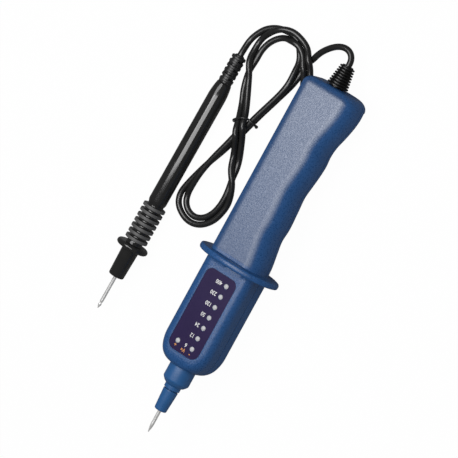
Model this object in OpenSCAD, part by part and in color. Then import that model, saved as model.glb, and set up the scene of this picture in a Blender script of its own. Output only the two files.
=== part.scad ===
// Two-pole voltage tester with eight LED windows: a hand unit and a second
// probe, joined by a thin cable that is folded into a tied figure-eight hank.
// Each half of the pair is drawn along its own axis, then laid at rest on z = 0.

/* [Head] */
// Distance from the middle of the finger guard to the end of the head
head_len = 64.7; // [60:0.1:80]
// Width of the head
head_w = 32.6; // [30:0.2:38]
// Thickness of head and handle, front face to back face
body_h = 24; // [22:0.2:30]
// Radius along the long edges of both shells
edge_r = 5.5; // [4.5:0.1:6.5]
// Length over which the head narrows to its nose
nose_sweep = 15.2; // [12:0.1:20]
// Length over which the faces of the head slope down to its nose
face_sweep = 6; // [4:0.1:9]

/* [Handle] */
// Distance from the middle of the finger guard to the end of the tail
handle_len = 112.2; // [108:0.2:130]
// Reach of the straight left side from the axis
handle_left = 16.7; // [16:0.1:19]
// Reach of the right side next to the guard
grip_root = 17.2; // [16:0.1:18]
// Reach of the right side at its three finger hollows, guard to tail
hollow_1 = 14.4; // [14:0.1:15.2]
hollow_2 = 13.8; // [13.4:0.1:15]
hollow_3 = 15.6; // [15:0.1:16.4]
// Reach of the ridge between the second and third hollow
ridge = 16; // [15.2:0.1:17]
// Reach of the hooked heel at the tail
heel = 20.5; // [19:0.1:22]
// Width and height of the rounding on the finger side of each half
grip_round_w = 10; // [8:0.1:10.5]
grip_round_h = 11.4; // [10:0.1:11.8]
// Radius round the edge of the tail
tail_r = 5; // [4:0.1:6]

/* [Finger guard] */
// Overall width of the guard
guard_w = 51.4; // [48:0.2:60]
// Overall height of the guard
guard_h = 38; // [34:0.2:44]
// Thickness of the guard
guard_t = 3.6; // [3:0.1:5]

/* [Shells] */
// Thickness of the shell walls
wall = 2.2; // [1.8:0.1:2.5]
// Thickness of the end wall at the nose
nose_wall = 4.2; // [3.5:0.1:5]
// Thickness of the end wall at the tail
tail_wall = 4.4; // [3.5:0.1:5.5]
// Clearance of parts that slip into or through each other
slip = 0.1; // [0.05:0.01:0.2]
// Clearance of parts that are pressed or screwed together
press = 0.02; // [0.01:0.01:0.05]

/* [Nose and tip] */
// Radius of the stub that follows the head
stub_r = 7.8; // [7:0.1:8.5]
// Length of the stub
stub_len = 8.6; // [6:0.1:12]
// Length of the rounded shoulder
shoulder_len = 2.8; // [2:0.1:4]
// Radius of the neck
neck_r = 4.7; // [4.4:0.1:5.5]
// Length of the neck
neck_len = 2.5; // [1.5:0.1:5]
// Width of the groove between neck and sleeve
groove_w = 0.7; // [0.4:0.1:1.5]
// Radius of the sleeve at the groove
sleeve_r1 = 4.4; // [4:0.1:5]
// Radius of the sleeve at the needle
sleeve_r2 = 3.6; // [3:0.1:4]
// Length of the sleeve
sleeve_len = 12.9; // [10:0.1:20]
// Radius of both needles
needle_r = 1; // [0.8:0.05:1.15]
// Free length of the hand unit's needle, with its point
needle_free = 13.9; // [10:0.1:25]
// Length of the ground point of both needles
point_len = 4.5; // [3:0.1:6]
// Radius of the thicker needle shanks inside the plastic
shank_r = 1.25; // [1.2:0.05:1.6]

/* [Display] */
// Width of the display film
label_w = 20.6; // [20:0.2:24]
// Distance from the middle of the guard to the film
label_start = 7; // [6:0.1:9]
// Distance from the film to the end of the head
label_gap = 7.7; // [6:0.1:9]
// Thickness of the film
label_t = 0.35; // [0.2:0.05:0.5]
// Depth of the recess that the film lies in
recess = 0.5; // [0.4:0.05:0.8]
// Corner radius of the film at the guard end
label_r1 = 4; // [2:0.1:6]
// Corner radius of the film at the nose end
label_r2 = 5; // [2:0.1:7]
// Distance from the axis to the row of LEDs
led_x = 4.6; // [4:0.1:5.5]
// Distance from the film's ends to the first and the last LED
led_in_1 = 5; // [4:0.1:7]
led_in_2 = 5.4; // [5:0.1:7]
// Radius of an LED
led_r = 1.45; // [1.2:0.05:1.5]
// Height of an LED above its circuit board
led_h = 5.3; // [5:0.1:5.6]
// How far an LED stands above the film
led_proud = 0.15; // [0:0.05:0.5]

/* [Inside] */
// Thickness of the circuit board
board_t = 1.6; // [1:0.1:1.8]
// Width of the circuit board in the head
board_w = 21.6; // [18:0.2:22]
// Length of the brass contact between the circuit board and the nose
contact_len = 5; // [4:0.1:8]
// Length of the circuit board on the handle side of the guard
board_tail = 30; // [26:0.2:40]
// Radius of the shank of a housing screw
screw_r = 1.4; // [1.2:0.05:1.5]
// Distance from the axis to the housing screws
screw_x = 7.5; // [7.2:0.1:7.8]

/* [Cable and boot] */
// Radius of the cable
cable_r = 1.8; // [1.4:0.05:2]
// Length of the ribbed boot outside the tail
boot_len = 13.3; // [12:0.1:18]
// Number of ribs on the boot
boot_ribs = 5; // [4:1:5]
// Radius of the first rib
boot_r1 = 6.3; // [5.5:0.1:7]
// Radius of the last rib
boot_r2 = 4.4; // [4:0.1:5]

/* [Second probe] */
// Length of the nose in front of the probe's guard
probe_nose = 19.3; // [15:0.1:25]
// Radius of the nose next to the guard
probe_nose_r1 = 5.05; // [4.8:0.05:5.5]
// Radius of the nose at the needle
probe_nose_r2 = 4.55; // [3.5:0.05:4.8]
// Free length of the probe's needle, with its point
probe_needle_free = 20.9; // [14:0.1:25]
// Radius of the probe's guard
disc_r = 9.45; // [8.5:0.05:12]
// Thickness of the probe's guard
disc_t = 3.4; // [3:0.1:4]
// Radius of the grip rings
ring_r = 6.75; // [6:0.05:7.5]
// Number of grip rings
rings = 7; // [4:1:7]
// Distance between grip rings
ring_pitch = 3.37; // [3:0.01:3.5]
// Width of a grip ring
ring_t = 1.9; // [1.4:0.1:2.2]
// Radius between the grip rings
core_r = 4.65; // [4:0.05:5]
// Radius of the barrel
barrel_r = 5.3; // [5:0.05:6]
// Distance from the guard to the barrel's shoulder
barrel_end = 98; // [85:0.5:120]
// Length of the barrel's shoulder
barrel_shoulder = 7.6; // [5:0.1:10]
// Length of the flat panel on the barrel
panel_len = 33; // [20:0.5:40]
// Depth of the flat panel
panel_depth = 0.3; // [0.1:0.05:0.4]
// Radius of the rings of the probe's boot
link_r = 4.2; // [4:0.05:4.4]
// Number of rings on the probe's boot
links = 6; // [4:1:8]
// Distance between the rings of the probe's boot
link_pitch = 2.8; // [2.5:0.05:3.2]

/* [Layout] */
// Place of the hand unit's guard
unit_x = 26; // [20:0.1:40]
unit_y = -9.7; // [-20:0.1:10]
// Place of the probe's guard
probe_x = -42.3; // [-60:0.1:-40]
probe_y = -35.6; // [-45:0.1:-20]
// How far the probe is turned from the hand unit
probe_turn = -1.6; // [-4:0.1:0]

/* [Hidden] */

$fn = 48;
eps = 0.01;
blue = "#28568c";
black = "#222224";
steel = "silver";

// Heights in the hand unit, from its axis
face_z = body_h / 2;
ceiling_z = face_z - wall;
film_z = face_z - recess + label_t;
label_len = head_len - label_start - label_gap;
led_start = label_start + led_in_1;
led_pitch = (label_len - led_in_1 - led_in_2) / 6;
board_z = film_z + led_proud - led_h;

// Distances along the nose, from the middle of the guard
stub_end = head_len + stub_len;
neck_start = stub_end + shoulder_len;
neck_end = neck_start + neck_len;
sleeve_start = neck_end + groove_w;
sleeve_end = sleeve_start + sleeve_len;
needle_tip = sleeve_end + needle_free;
spigot_r = stub_r - 1.9;
flange_t = 1.5;
flange_end = head_len - nose_wall - flange_t;
shank_start = flange_end - 2;
board_head = flange_end - contact_len + 1;

// Screws: the first is in the head, the others are in the handle
screw_ys = [-head_len / 2, 50, handle_len - 14];
screw_head_r = 2 * screw_r;
screw_seat = 6;
screw_len = 12;
post_r = 2.6;
well_r = screw_head_r + slip;

// The boot's ribs
boot_start = handle_len;
boot_end = handle_len + boot_len;
boot_gap = 0.9;
rib_pitch = (boot_len - boot_gap) / boot_ribs;
rib_t = 0.65 * rib_pitch;
boot_neck_r = 4;

// The probe's boot
link_start = barrel_end + barrel_shoulder;
link_t = 0.6 * link_pitch;
probe_end = link_start + 1.4 + links * link_pitch;
socket_len = 6;
socket_r = 3.2;
cup_start = 24;
cup_joint = 30;
cup_end = 38;

// Both halves lie on the edge of their guard and on their far end
unit_tilt = atan((guard_h / 2 - face_z) / (handle_len - tail_r));
unit_z = guard_h / 2 * cos(unit_tilt);
probe_tilt = atan((disc_r - barrel_r) / barrel_end);
probe_z = disc_r * cos(probe_tilt);

// Right side of the handle: distance from the guard and reach from the axis
GRIP = [
    [-8, grip_root], [0, grip_root], [8, grip_root - 0.5], [16, (grip_root + hollow_1) / 2 - 0.4],
    [23, hollow_1], [31, hollow_1 + 0.5], [41, (hollow_1 + hollow_2) / 2 + 0.3],
    [50, hollow_2], [57, hollow_2 + 0.8], [64, ridge - 0.5], [71, ridge], [77, hollow_3],
    [handle_len - 29, hollow_3 + 0.7], [handle_len - 22, (hollow_3 + heel) / 2 + 0.2],
    [handle_len - 14, heel - 0.5], [handle_len - 7, heel], [handle_len + 2, heel - 1.2]
];

// The hank: middle line of the upper and lower loop of the figure eight, from
// the crossing and back to it
CROSSING = [-17, 54];
UPPER = [
    [-13, 62.5], [-9.5, 71], [-6, 79.5], [-3, 87.5], [-1.5, 95], [-3, 102.5], [-7.5, 108],
    [-14, 111], [-21, 110.5], [-26.5, 107], [-29.8, 100.5], [-30.6, 93], [-29.8, 85],
    [-27.6, 77], [-25, 70], [-21, 62]
];
LOWER = [
    [-21, 44], [-24.5, 35], [-28, 26.5], [-30.6, 18.5], [-31.4, 10.5], [-30, 3.5], [-26.5, -2.5],
    [-21.5, -5], [-15.5, -3.5], [-10.5, 0.5], [-7.5, 7], [-6.5, 14.5], [-7.5, 22], [-9.5, 29.5],
    [-12, 37.5], [-14.5, 46]
];
// The two free ends of the cable, each from a boot to the hank
function unit_point(y) =
    [unit_x, unit_y + y * cos(unit_tilt), unit_z - y * sin(unit_tilt)];
function probe_point(y) =
    [probe_x - y * cos(probe_tilt) * sin(probe_turn), probe_y + y * cos(probe_tilt) * cos(probe_turn),
        probe_z - y * sin(probe_tilt)];
LEAD_MAIN = [
    unit_point(boot_end + 1.5), [25.9, 119.2, 10.5], [23.5, 121.6, 10.2], [19.5, 122.4, 9.9],
    [15, 121.3, 9.3], [10.5, 118.5, 8.5], [6.5, 114.5, 7.4], [3.5, 110.5, 6.2], [1.5, 106.5, 5]
];
LEAD_PROBE = [
    probe_point(probe_end + 1.5), [-38.7, 94, 3.6], [-38.3, 98.5, 2.8], [-37.1, 103, 2.1],
    [-35.2, 106.8, 1.9], [-32.4, 109.6, 1.9]
];
hank_w = 4.4 * cable_r;
hank_h = 3.8 * cable_r;
crossing_h = 5.6 * cable_r;
tie_r = 0.9;

// Swaps the axis of a turned profile: its height runs to the tail or to the tip
module to_tail() rotate([-90, 0, 0]) children();
module to_tip() rotate([90, 0, 0]) children();

// Lays a piece of the hand unit or of the probe where it rests
module in_unit() translate([unit_x, unit_y, unit_z]) rotate([-unit_tilt, 0, 0]) children();
module in_probe()
    translate([probe_x, probe_y, probe_z])
    rotate([0, 0, probe_turn]) rotate([-probe_tilt, 0, 0]) children();

// A point of the smooth curve through P, at share t of the way from point i
function along(P, i, t) =
    let (
        n = len(P),
        a = P[max(i - 1, 0)], b = P[i], c = P[min(i + 1, n - 1)], d = P[min(i + 2, n - 1)]
    )
    (2 * b + (c - a) * t + (2 * a - 5 * b + 4 * c - d) * t * t
        + (3 * b - a - 3 * c + d) * t * t * t) / 2;
function smooth(P, steps, first = 0, last = 0) =
    [for (i = [first : len(P) - 2 - last]) for (k = [0 : steps - 1]) along(P, i, k / steps)];

// A closed solid through rings of equally many points
module loft(R) {
    n = len(R[0]);
    m = len(R);
    sides = [for (j = [0 : m - 2]) for (i = [0 : n - 1])
        let (a = j * n + i, b = j * n + (i + 1) % n) each [[a, b + n, b], [a, a + n, b + n]]];
    first = [for (i = [0 : n - 1]) i];
    last = [for (i = [n - 1 : -1 : 0]) (m - 1) * n + i];
    polyhedron([for (r = R) each r], concat([first], sides, [last]), convexity = 6);
}

// Reach of the head from its axis at distance d from the guard
function sweep(d, full, run) =
    d <= head_len - run ? full
    : stub_r + (full - stub_r) * sqrt(max(0, 1 - pow((d - head_len + run) / run, 2)));
function head_edge(d) =
    let (t = max(0, (d - head_len + nose_sweep) / nose_sweep))
    edge_r + (stub_r - 0.1 - edge_r) * t * t;

// Sections of the body, tip to tail:
// [y, left, right, half height, left edge radius, width and height of the right rounding]
HEAD_YS = concat(
    [for (a = [90 : -15 : 15]) head_len - nose_sweep * (1 - sin(a))],
    [head_len - nose_sweep, guard_t + 0.5]
);
HEAD_SECTIONS = [for (d = HEAD_YS)
    let (w = sweep(d, head_w / 2, nose_sweep), e = head_edge(d))
    [-d, w, w, sweep(d, face_z, face_sweep), e, e, e]];
HANDLE_SECTIONS = [for (p = smooth(GRIP, 2, 1, 1))
    if (p[0] > guard_t && p[0] < handle_len - tail_r - 0.5)
    [p[0], handle_left, p[1], face_z, edge_r + 0.5, grip_round_w, grip_round_h]];
TAIL_SECTIONS = [for (a = [0 : 18 : 90])
    let (in = tail_r * (1 - cos(a)), y = handle_len - tail_r * (1 - sin(a)))
    [y, handle_left - 1.2 * in, heel - 1.3 * in, face_z - in, edge_r + 0.5 - 0.2 * in,
        grip_round_w - 0.6 * in, (grip_round_h - 0.4) * (1 - in / face_z)]];
SECTIONS = concat(HEAD_SECTIONS, HANDLE_SECTIONS, TAIL_SECTIONS);

// Half of a section: from the parting line over the face and down again
left_steps = 6;
right_steps = 8;
function half_section(s) = concat(
    [[-s[1], s[0], 0]],
    [for (k = [0 : left_steps]) let (a = 90 * k / left_steps)
        [-s[1] + s[4] * (1 - cos(a)), s[0], s[3] - s[4] * (1 - sin(a))]],
    [for (k = [0 : right_steps]) let (a = 90 - 90 * k / right_steps)
        [s[2] - s[5] * (1 - cos(a)), s[0], s[3] - s[6] * (1 - sin(a))]],
    [[s[2], s[0], 0]]);

// Half of the guard's rim, mixed with the section of the body that it grows from
function guard_ring(s, y, share) =
    let (P = half_section(s), n = len(P) - 1)
    [for (i = [0 : n]) let (a = 180 - 180 * i / n)
        [P[i][0] + share * (guard_w / 2 * cos(a) - P[i][0]), y,
            P[i][2] + share * (guard_h / 2 * sin(a) - P[i][2])]];
GUARD_EDGE = [[0.62, 0], [0.52, 0.12], [0.47, 0.8], [0.4, 0.92], [0.22, 0.985]];
HEAD_SIDE = HEAD_SECTIONS[len(HEAD_SECTIONS) - 1];
HANDLE_SIDE = [0, handle_left, grip_root, face_z, edge_r + 0.5, grip_round_w, grip_round_h];
GUARD_RINGS = concat(
    [for (e = GUARD_EDGE) guard_ring(HEAD_SIDE, -e[0] * guard_t, e[1])],
    [guard_ring(HANDLE_SIDE, 0, 1)],
    [for (k = [len(GUARD_EDGE) - 1 : -1 : 0])
        guard_ring(HANDLE_SIDE, GUARD_EDGE[k][0] * guard_t, GUARD_EDGE[k][1])]);

// Outside of the front half of the body
module half_body() loft(concat(
    [for (s = HEAD_SECTIONS) half_section(s)],
    GUARD_RINGS,
    [for (s = concat(HANDLE_SECTIONS, TAIL_SECTIONS)) half_section(s)]));

// Reach of the outside at height z, for an edge that is rounded by w and h
function reach(side, half, w, h, z) =
    side - w * (1 - sqrt(1 - pow(max(0, z - half + h) / h, 2)));

// Room inside one half, cut as two steps so that the wall stays even at the edges
function inside(z, in) =
    let (
        y1 = -(head_len - nose_wall), y2 = handle_len - tail_wall,
        S = [for (s = SECTIONS) if (s[0] > y1 - 3 && s[0] < y2 + 1.5) s],
        clip = function (y) min(max(y, y1), y2)
    )
    concat(
        [for (s = S) [in - reach(s[1], s[3], s[4], s[4], z), clip(s[0])]],
        [for (k = [len(S) - 1 : -1 : 0]) let (s = S[k])
            [reach(s[2], s[3], s[5], s[6], z) - in, clip(s[0])]]);
module room() {
    step_z = face_z - edge_r;
    translate([0, 0, -1]) linear_extrude(step_z + 1) polygon(inside(step_z, wall));
    translate([0, 0, -1]) linear_extrude(ceiling_z + 1) polygon(inside(ceiling_z, 1.3 * wall));
}

// Holes that both halves share
module end_holes() {
    to_tip() cylinder(r = spigot_r + slip, h = head_len + 1);
    to_tail() cylinder(r = boot_neck_r + slip, h = handle_len + 1);
}

LED_PLACES = concat(
    [for (k = [0 : 6]) [led_x, -led_start - k * led_pitch]],
    [[-led_x - 0.9, -led_start - 6 * led_pitch]]);

module label_outline(grow) {
    w = label_w / 2 + grow;
    y1 = -label_start + grow;
    y2 = -label_start - label_len - grow;
    r1 = label_r1 + grow;
    r2 = label_r2 + grow;
    translate([-w, y2 + r2]) square([2 * w, y1 - y2 - r1 - r2]);
    translate([-w + r1, y1 - r1 - eps]) square([2 * (w - r1), r1 + eps]);
    translate([-w + r2, y2]) square([2 * (w - r2), r2 + eps]);
    for (s = [-1, 1]) {
        translate([s * (w - r1), y1 - r1]) circle(r1);
        translate([s * (w - r2), y2 + r2]) circle(r2);
    }
}

module front_shell() {
    color(blue) in_unit() difference() {
        union() {
            difference() {
                half_body();
                room();
            }
            for (y = screw_ys) translate([-screw_x, y, 0]) cylinder(r = post_r, h = ceiling_z + 0.3);
            for (x = [-1, 1], y = [-9, -board_head + 5])
                translate([x * (board_w / 2 - 1.8), y, board_z])
                    cylinder(r = 1.4, h = ceiling_z + 0.3 - board_z);
        }
        end_holes();
        for (y = screw_ys)
            translate([-screw_x, y, -1]) cylinder(r = screw_r + press, h = screw_seat + 2.4);
        translate([0, 0, face_z - recess]) linear_extrude(2) label_outline(0.15);
        for (p = LED_PLACES)
            translate([p[0], p[1], ceiling_z - 1]) cylinder(r = led_r + slip, h = wall + 2);
    }
}

module back_shell() {
    color(blue) in_unit() difference() {
        union() {
            mirror([0, 0, 1]) difference() {
                half_body();
                room();
            }
            for (y = screw_ys)
                translate([-screw_x, y, -ceiling_z - 0.3]) cylinder(r = well_r + 1.4, h = ceiling_z + 0.3);
            for (p = [[board_w / 2 - 2.2, 2.5 - head_len / 2], [-6, board_tail - 2.5]])
                translate([p[0], p[1], -ceiling_z - 0.3])
                    cylinder(r = 1.6, h = ceiling_z + 0.3 + board_z - board_t);
        }
        end_holes();
        for (y = screw_ys) translate([-screw_x, y, -face_z - 1]) {
            cylinder(r = screw_r + slip, h = face_z + 2);
            cylinder(r = well_r, h = face_z + 1 - screw_seat);
        }
    }
}

module nose_cone() {
    color(blue) in_unit() to_tip() rotate_extrude() polygon([
        [shank_r + press, flange_end],
        [spigot_r + 1.2, flange_end],
        [spigot_r + 1.2, head_len - nose_wall],
        [spigot_r, head_len - nose_wall],
        [spigot_r, head_len],
        [stub_r, head_len],
        [stub_r, stub_end],
        [stub_r - 0.5, stub_end + 0.3 * shoulder_len],
        [neck_r + 1.2, neck_start - 0.15 * shoulder_len],
        [neck_r + 0.25, neck_start],
        [neck_r, neck_start + 0.4],
        [neck_r, neck_end],
        [sleeve_r2 - 0.4, neck_end],
        [sleeve_r2 - 0.4, sleeve_start],
        [shank_r + press, sleeve_start]
    ]);
}

module tip_sleeve() {
    color(blue) in_unit() to_tip() rotate_extrude() polygon(concat(
        [
            [shank_r + press, sleeve_start],
            [sleeve_r1 - 0.4, sleeve_start],
            [sleeve_r1, sleeve_start + 0.4]
        ],
        [for (a = [0 : 15 : 75])
            [sleeve_r2 - 1.2 * (1 - cos(a)), sleeve_end - 1.2 * (1 - sin(a))]],
        [
            [sleeve_r2 - 1.4, sleeve_end],
            [shank_r + press, sleeve_end]
        ]));
}

// A steel needle with a thicker shank and a ground point
module needle(start, step, tip) rotate_extrude() polygon([
    [0, start], [shank_r, start], [shank_r, step], [needle_r, step],
    [needle_r, tip - point_len], [0.55 * needle_r, tip - 0.4 * point_len], [0.1, tip], [0, tip]
]);

module tip_needle() {
    color(steel) in_unit() to_tip() needle(shank_start, sleeve_end, needle_tip);
}

// Brass ring on the needle's shank, with a tab up to the circuit board
module tip_contact() {
    color("goldenrod") in_unit() {
        difference() {
            union() {
                to_tip() translate([0, 0, flange_end - contact_len]) cylinder(r = 2, h = contact_len);
                translate([-1.5, -board_head, 0]) cube([3, 1, board_z - board_t]);
            }
            to_tip() translate([0, 0, shank_start]) cylinder(r = shank_r + press, h = contact_len);
        }
    }
}

module display_label() {
    color("#2a1840") in_unit() translate([0, 0, face_z - recess]) difference() {
        linear_extrude(label_t) label_outline(0);
        for (p = LED_PLACES) translate([p[0], p[1], -1]) cylinder(r = led_r + slip, h = 3);
    }
}

// One LED with its foot on the circuit board
module led(k) {
    p = LED_PLACES[k];
    color("lightgray") in_unit() translate([p[0], p[1], board_z]) rotate_extrude() polygon(concat(
        [[0, 0], [led_r + 0.45, 0], [led_r + 0.45, 1], [led_r, 1], [led_r, led_h - 0.6]],
        [for (a = [20 : 20 : 80]) [led_r * cos(a), led_h - 0.6 + 0.6 * sin(a)]],
        [[0, led_h]]));
}

module circuit_board() {
    color("#1f6b3a") in_unit() translate([0, 0, board_z - board_t]) difference() {
        linear_extrude(board_t) polygon([
            [-board_w / 2, -board_head + 2.5], [-board_w / 2 + 2.5, -board_head],
            [board_w / 2 - 2.5, -board_head], [board_w / 2, -board_head + 2.5],
            [board_w / 2, -6], [5.8, -4], [5.8, board_tail], [-9.5, board_tail],
            [-9.5, -4], [-board_w / 2, -6]
        ]);
        translate([-screw_x, screw_ys[0], -1]) cylinder(r = post_r + 2 * slip, h = board_t + 2);
        translate([-board_w, screw_ys[0] - post_r - 2 * slip, -1])
            cube([board_w - screw_x, 2 * post_r + 4 * slip, board_t + 2]);
    }
}

// Places things on the underside of the circuit board
module under_board(x, y) translate([x, y, board_z - board_t]) mirror([0, 0, 1]) children();

module comparator_chip() {
    color(black) in_unit() under_board(0, -20) {
        translate([-2, -4.4, 0.2]) cube([4, 8.8, 1.5]);
        for (s = [-1, 1], k = [0 : 6])
            translate([s * 2.5 - 0.6, (k - 3) * 1.27 - 0.2, 0]) cube([1.2, 0.4, 0.6]);
    }
}

module divider_resistors() {
    color("dimgray") in_unit() for (k = [0 : 6])
        under_board(5.2, -led_start - k * led_pitch) translate([-0.8, -1.6, 0]) cube([1.6, 3.2, 0.6]);
}

module rectifier_diodes() {
    color(black) in_unit() for (k = [0 : 3])
        under_board(-2, -board_head + 4.6 + 2.8 * k) translate([-2.2, -0.9, 0]) cube([4.4, 1.8, 1.6]);
}

module filter_capacitor() {
    color("slategray") in_unit() under_board(-5.5, -12) difference() {
        cylinder(r = 2.5, h = 5.4);
        translate([0, 0, 1.2]) rotate_extrude() translate([2.6, 0]) circle(0.3, $fn = 16);
    }
}

// A high-voltage resistor on its two legs
module series_resistor(x) {
    r = 1.9;
    wire = 0.35;
    color("tan") in_unit() under_board(x, 16) {
        translate([0, -5, r]) to_tail() rotate_extrude() polygon([
            [0, 0], [r - 0.4, 0], [r, 0.6], [r, 2.2], [r - 0.3, 2.8], [r - 0.3, 7.2], [r, 7.8],
            [r, 9.4], [r - 0.4, 10], [0, 10]
        ]);
        translate([0, -7, r]) to_tail() cylinder(r = wire, h = 14);
        for (s = [-1, 1]) translate([0, s * 7, 0]) cylinder(r = wire, h = r + wire);
    }
}

module housing_screws() {
    color(steel) in_unit() for (y = screw_ys) translate([-screw_x, y, -screw_seat]) difference() {
        rotate_extrude() polygon([
            [0, -2], [screw_head_r - 0.8, -2], [screw_head_r, -1], [screw_head_r, 0], [screw_r, 0],
            [screw_r, screw_len - 1.4], [0, screw_len]
        ]);
        for (a = [0, 90]) rotate(a) translate([-1.5, -0.3, -2.5]) cube([3, 0.6, 1.5]);
    }
}

module strain_relief() {
    ribs = [for (k = [0 : boot_ribs - 1])
        let (y = boot_start + boot_gap + k * rib_pitch, r = boot_r1 + (boot_r2 - boot_r1) * k / (boot_ribs - 1))
        each [[r - 0.8, y], [r - 0.1, y + 0.1], [r, y + 0.4], [r, y + rib_t - 0.4],
            [r - 0.1, y + rib_t - 0.1], [r - 0.8, y + rib_t]]];
    color(black) in_unit() to_tail() rotate_extrude() polygon(concat(
        [
            [cable_r + press, handle_len - tail_wall - 2],
            [boot_neck_r + 1.8, handle_len - tail_wall - 2],
            [boot_neck_r + 1.8, handle_len - tail_wall],
            [boot_neck_r, handle_len - tail_wall],
            [boot_neck_r, boot_start],
            [boot_neck_r + 0.6, boot_start],
            [boot_neck_r + 0.6, boot_start + boot_gap]
        ],
        ribs,
        [[boot_r2 - 0.8, boot_end], [cable_r + press, boot_end]]));
}

// A tube of eight sides along a route
module tube(P, r) loft([for (i = [0 : len(P) - 1])
    let (
        t = P[min(i + 1, len(P) - 1)] - P[max(i - 1, 0)],
        side = cross(t, [0, 0, 1]) / norm(cross(t, [0, 0, 1])),
        top = cross(side, t) / norm(t)
    )
    [for (k = [7 : -1 : 0]) P[i] + r * (cos(45 * k + 22.5) * side + sin(45 * k + 22.5) * top)]]);

// The cable inside the handle: its jacket, then one core down to the circuit board
module inner_lead() {
    jacket_start = handle_len - tail_wall - 8;
    color(black) in_unit() {
        to_tail() translate([0, 0, jacket_start]) cylinder(r = cable_r, h = boot_end - jacket_start);
        tube([
            [0, jacket_start + 1, 0], [0, jacket_start - 6, 0], [1, 80, -1], [1, 56, -2],
            [0, board_tail + 8, -1], [-1, board_tail, 1], [-1, board_tail - 5, 4],
            [-1, board_tail - 7, board_z - board_t - 0.9]
        ], 0.8);
        under_board(-1, board_tail - 7) cylinder(r1 = 1.3, r2 = 0.9, h = 1);
    }
}

module probe_handle() {
    y0 = disc_t / 2;
    ring_start = y0 + 3.2;
    ring_end = ring_start + (rings - 1) * ring_pitch + ring_t / 2;
    RINGS = [for (k = [0 : rings - 1]) let (y = ring_start + k * ring_pitch, h = ring_t / 2)
        each [[core_r, y - h - 0.1], [ring_r - 0.5, y - h], [ring_r, y - 0.5 * h],
            [ring_r, y + 0.5 * h], [ring_r - 0.5, y + h], [core_r, y + h + 0.1]]];
    color(black) in_probe() difference() {
        to_tail() rotate_extrude() polygon(concat(
            [
                [shank_r + press, -probe_nose],
                [probe_nose_r2 - 1.2, -probe_nose],
                [probe_nose_r2 - 0.4, -probe_nose + 0.4],
                [probe_nose_r2, -probe_nose + 1.2],
                [probe_nose_r1, -y0 - 0.1]
            ],
            [[disc_r - 1.2, -0.75 * y0]],
            [for (a = [-60 : 30 : 60]) [disc_r - 1.2 * (1 - cos(a)), 0.72 * y0 * sin(a)]],
            [[disc_r - 1.2, 0.75 * y0]],
            [[probe_nose_r1, y0 + 0.1], [core_r, y0 + 1.6]],
            RINGS,
            [
                [core_r, ring_end + 1.2], [barrel_r, ring_end + 2.9], [barrel_r, barrel_end],
                [barrel_r - 0.15, barrel_end + 0.25 * barrel_shoulder],
                [barrel_r - 0.5, barrel_end + 0.6 * barrel_shoulder],
                [link_r, link_start], [socket_r + press, link_start],
                [socket_r + press, link_start - socket_len],
                [cable_r + press, link_start - socket_len],
                [cable_r + press, cup_start], [shank_r + press, cup_start]
            ]));
        rotate([0, -18, 0]) translate([-barrel_r, barrel_end - panel_len - 9, barrel_r - panel_depth])
            cube([2 * barrel_r, panel_len, 2]);
    }
}

module probe_needle() {
    color(steel) in_probe() to_tip()
        needle(-cup_joint, probe_nose, probe_nose + probe_needle_free);
}

module probe_solder_cup() {
    color("goldenrod") in_probe() to_tail() difference() {
        translate([0, 0, cup_start]) cylinder(r = cable_r, h = cup_end - cup_start);
        translate([0, 0, cup_start - 1]) cylinder(r = shank_r + press, h = cup_joint - cup_start + 1);
    }
}

module probe_boot() {
    color(black) in_probe() to_tail() difference() {
        union() {
            translate([0, 0, link_start - socket_len]) cylinder(r = socket_r, h = socket_len + 1);
            translate([0, 0, link_start]) cylinder(r = 0.66 * link_r, h = probe_end - link_start);
            for (k = [0 : links - 1]) translate([0, 0, link_start + 1.4 + k * link_pitch])
                rotate_extrude() polygon([
                    [0, 0], [link_r - 0.4, 0], [link_r, 0.4], [link_r, link_t - 0.4],
                    [link_r - 0.4, link_t], [0, link_t]
                ]);
            for (k = [0 : links - 1]) translate([0, 0, link_start + k * link_pitch])
                rotate(k % 2 == 0 ? 90 : 0)
                translate([-link_r + 0.3, -0.75 * link_r, 0]) cube([2 * link_r - 0.6, 1.5 * link_r, 2]);
        }
        translate([0, 0, link_start - socket_len - 1])
            cylinder(r = cable_r + press, h = probe_end - link_start + socket_len + 2);
    }
}

module probe_inner_lead() {
    color(black) in_probe() to_tail() translate([0, 0, cup_end])
        cylinder(r = cable_r, h = probe_end - cup_end);
}

module cord_lead_main() {
    color(black) tube(concat(
        [unit_point(boot_end)], smooth(LEAD_MAIN, 2), [LEAD_MAIN[len(LEAD_MAIN) - 1]]), cable_r);
}

module cord_lead_probe() {
    color(black) tube(concat(
        [probe_point(probe_end)], smooth(LEAD_PROBE, 2), [LEAD_PROBE[len(LEAD_PROBE) - 1]]), cable_r);
}

// A flat band of width w round a loop that starts and ends at the crossing
module band(P, w, h) {
    C = smooth(concat([CROSSING], P, [CROSSING]), 2);
    n = len(C);
    N = [for (i = [0 : n - 1])
        let (t = C[min(i + 1, n - 1)] - C[max(i - 1, 0)]) [t[1], -t[0]] / norm(t)];
    linear_extrude(h) difference() {
        polygon([for (i = [0 : n - 1]) C[i] + N[i] * w / 2]);
        polygon([for (i = [0 : n - 1]) if (norm(C[i] - CROSSING) > 1.8 * w) C[i] - N[i] * w / 2]);
    }
}

// The hank's end of a free lead, which meets the lead face to face and runs on to Q
module lead_end(P, Q) {
    C = smooth(P, 2);
    end = P[len(P) - 1];
    t = end - C[len(C) - 1];
    tube(concat([end, end + t / norm(t)], Q), cable_r);
}

module cord_hank() {
    color(black) {
        band(UPPER, hank_w, hank_h);
        band(LOWER, hank_w, hank_h);
        translate([CROSSING[0], CROSSING[1], 0]) cylinder(r = 0.75 * hank_w, h = crossing_h);
        lead_end(LEAD_MAIN, [[-1, 101.5, 3.8]]);
        lead_end(LEAD_PROBE, [[-27.5, 111, 1.9], [-22, 110.8, 1.9]]);
    }
}

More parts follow.
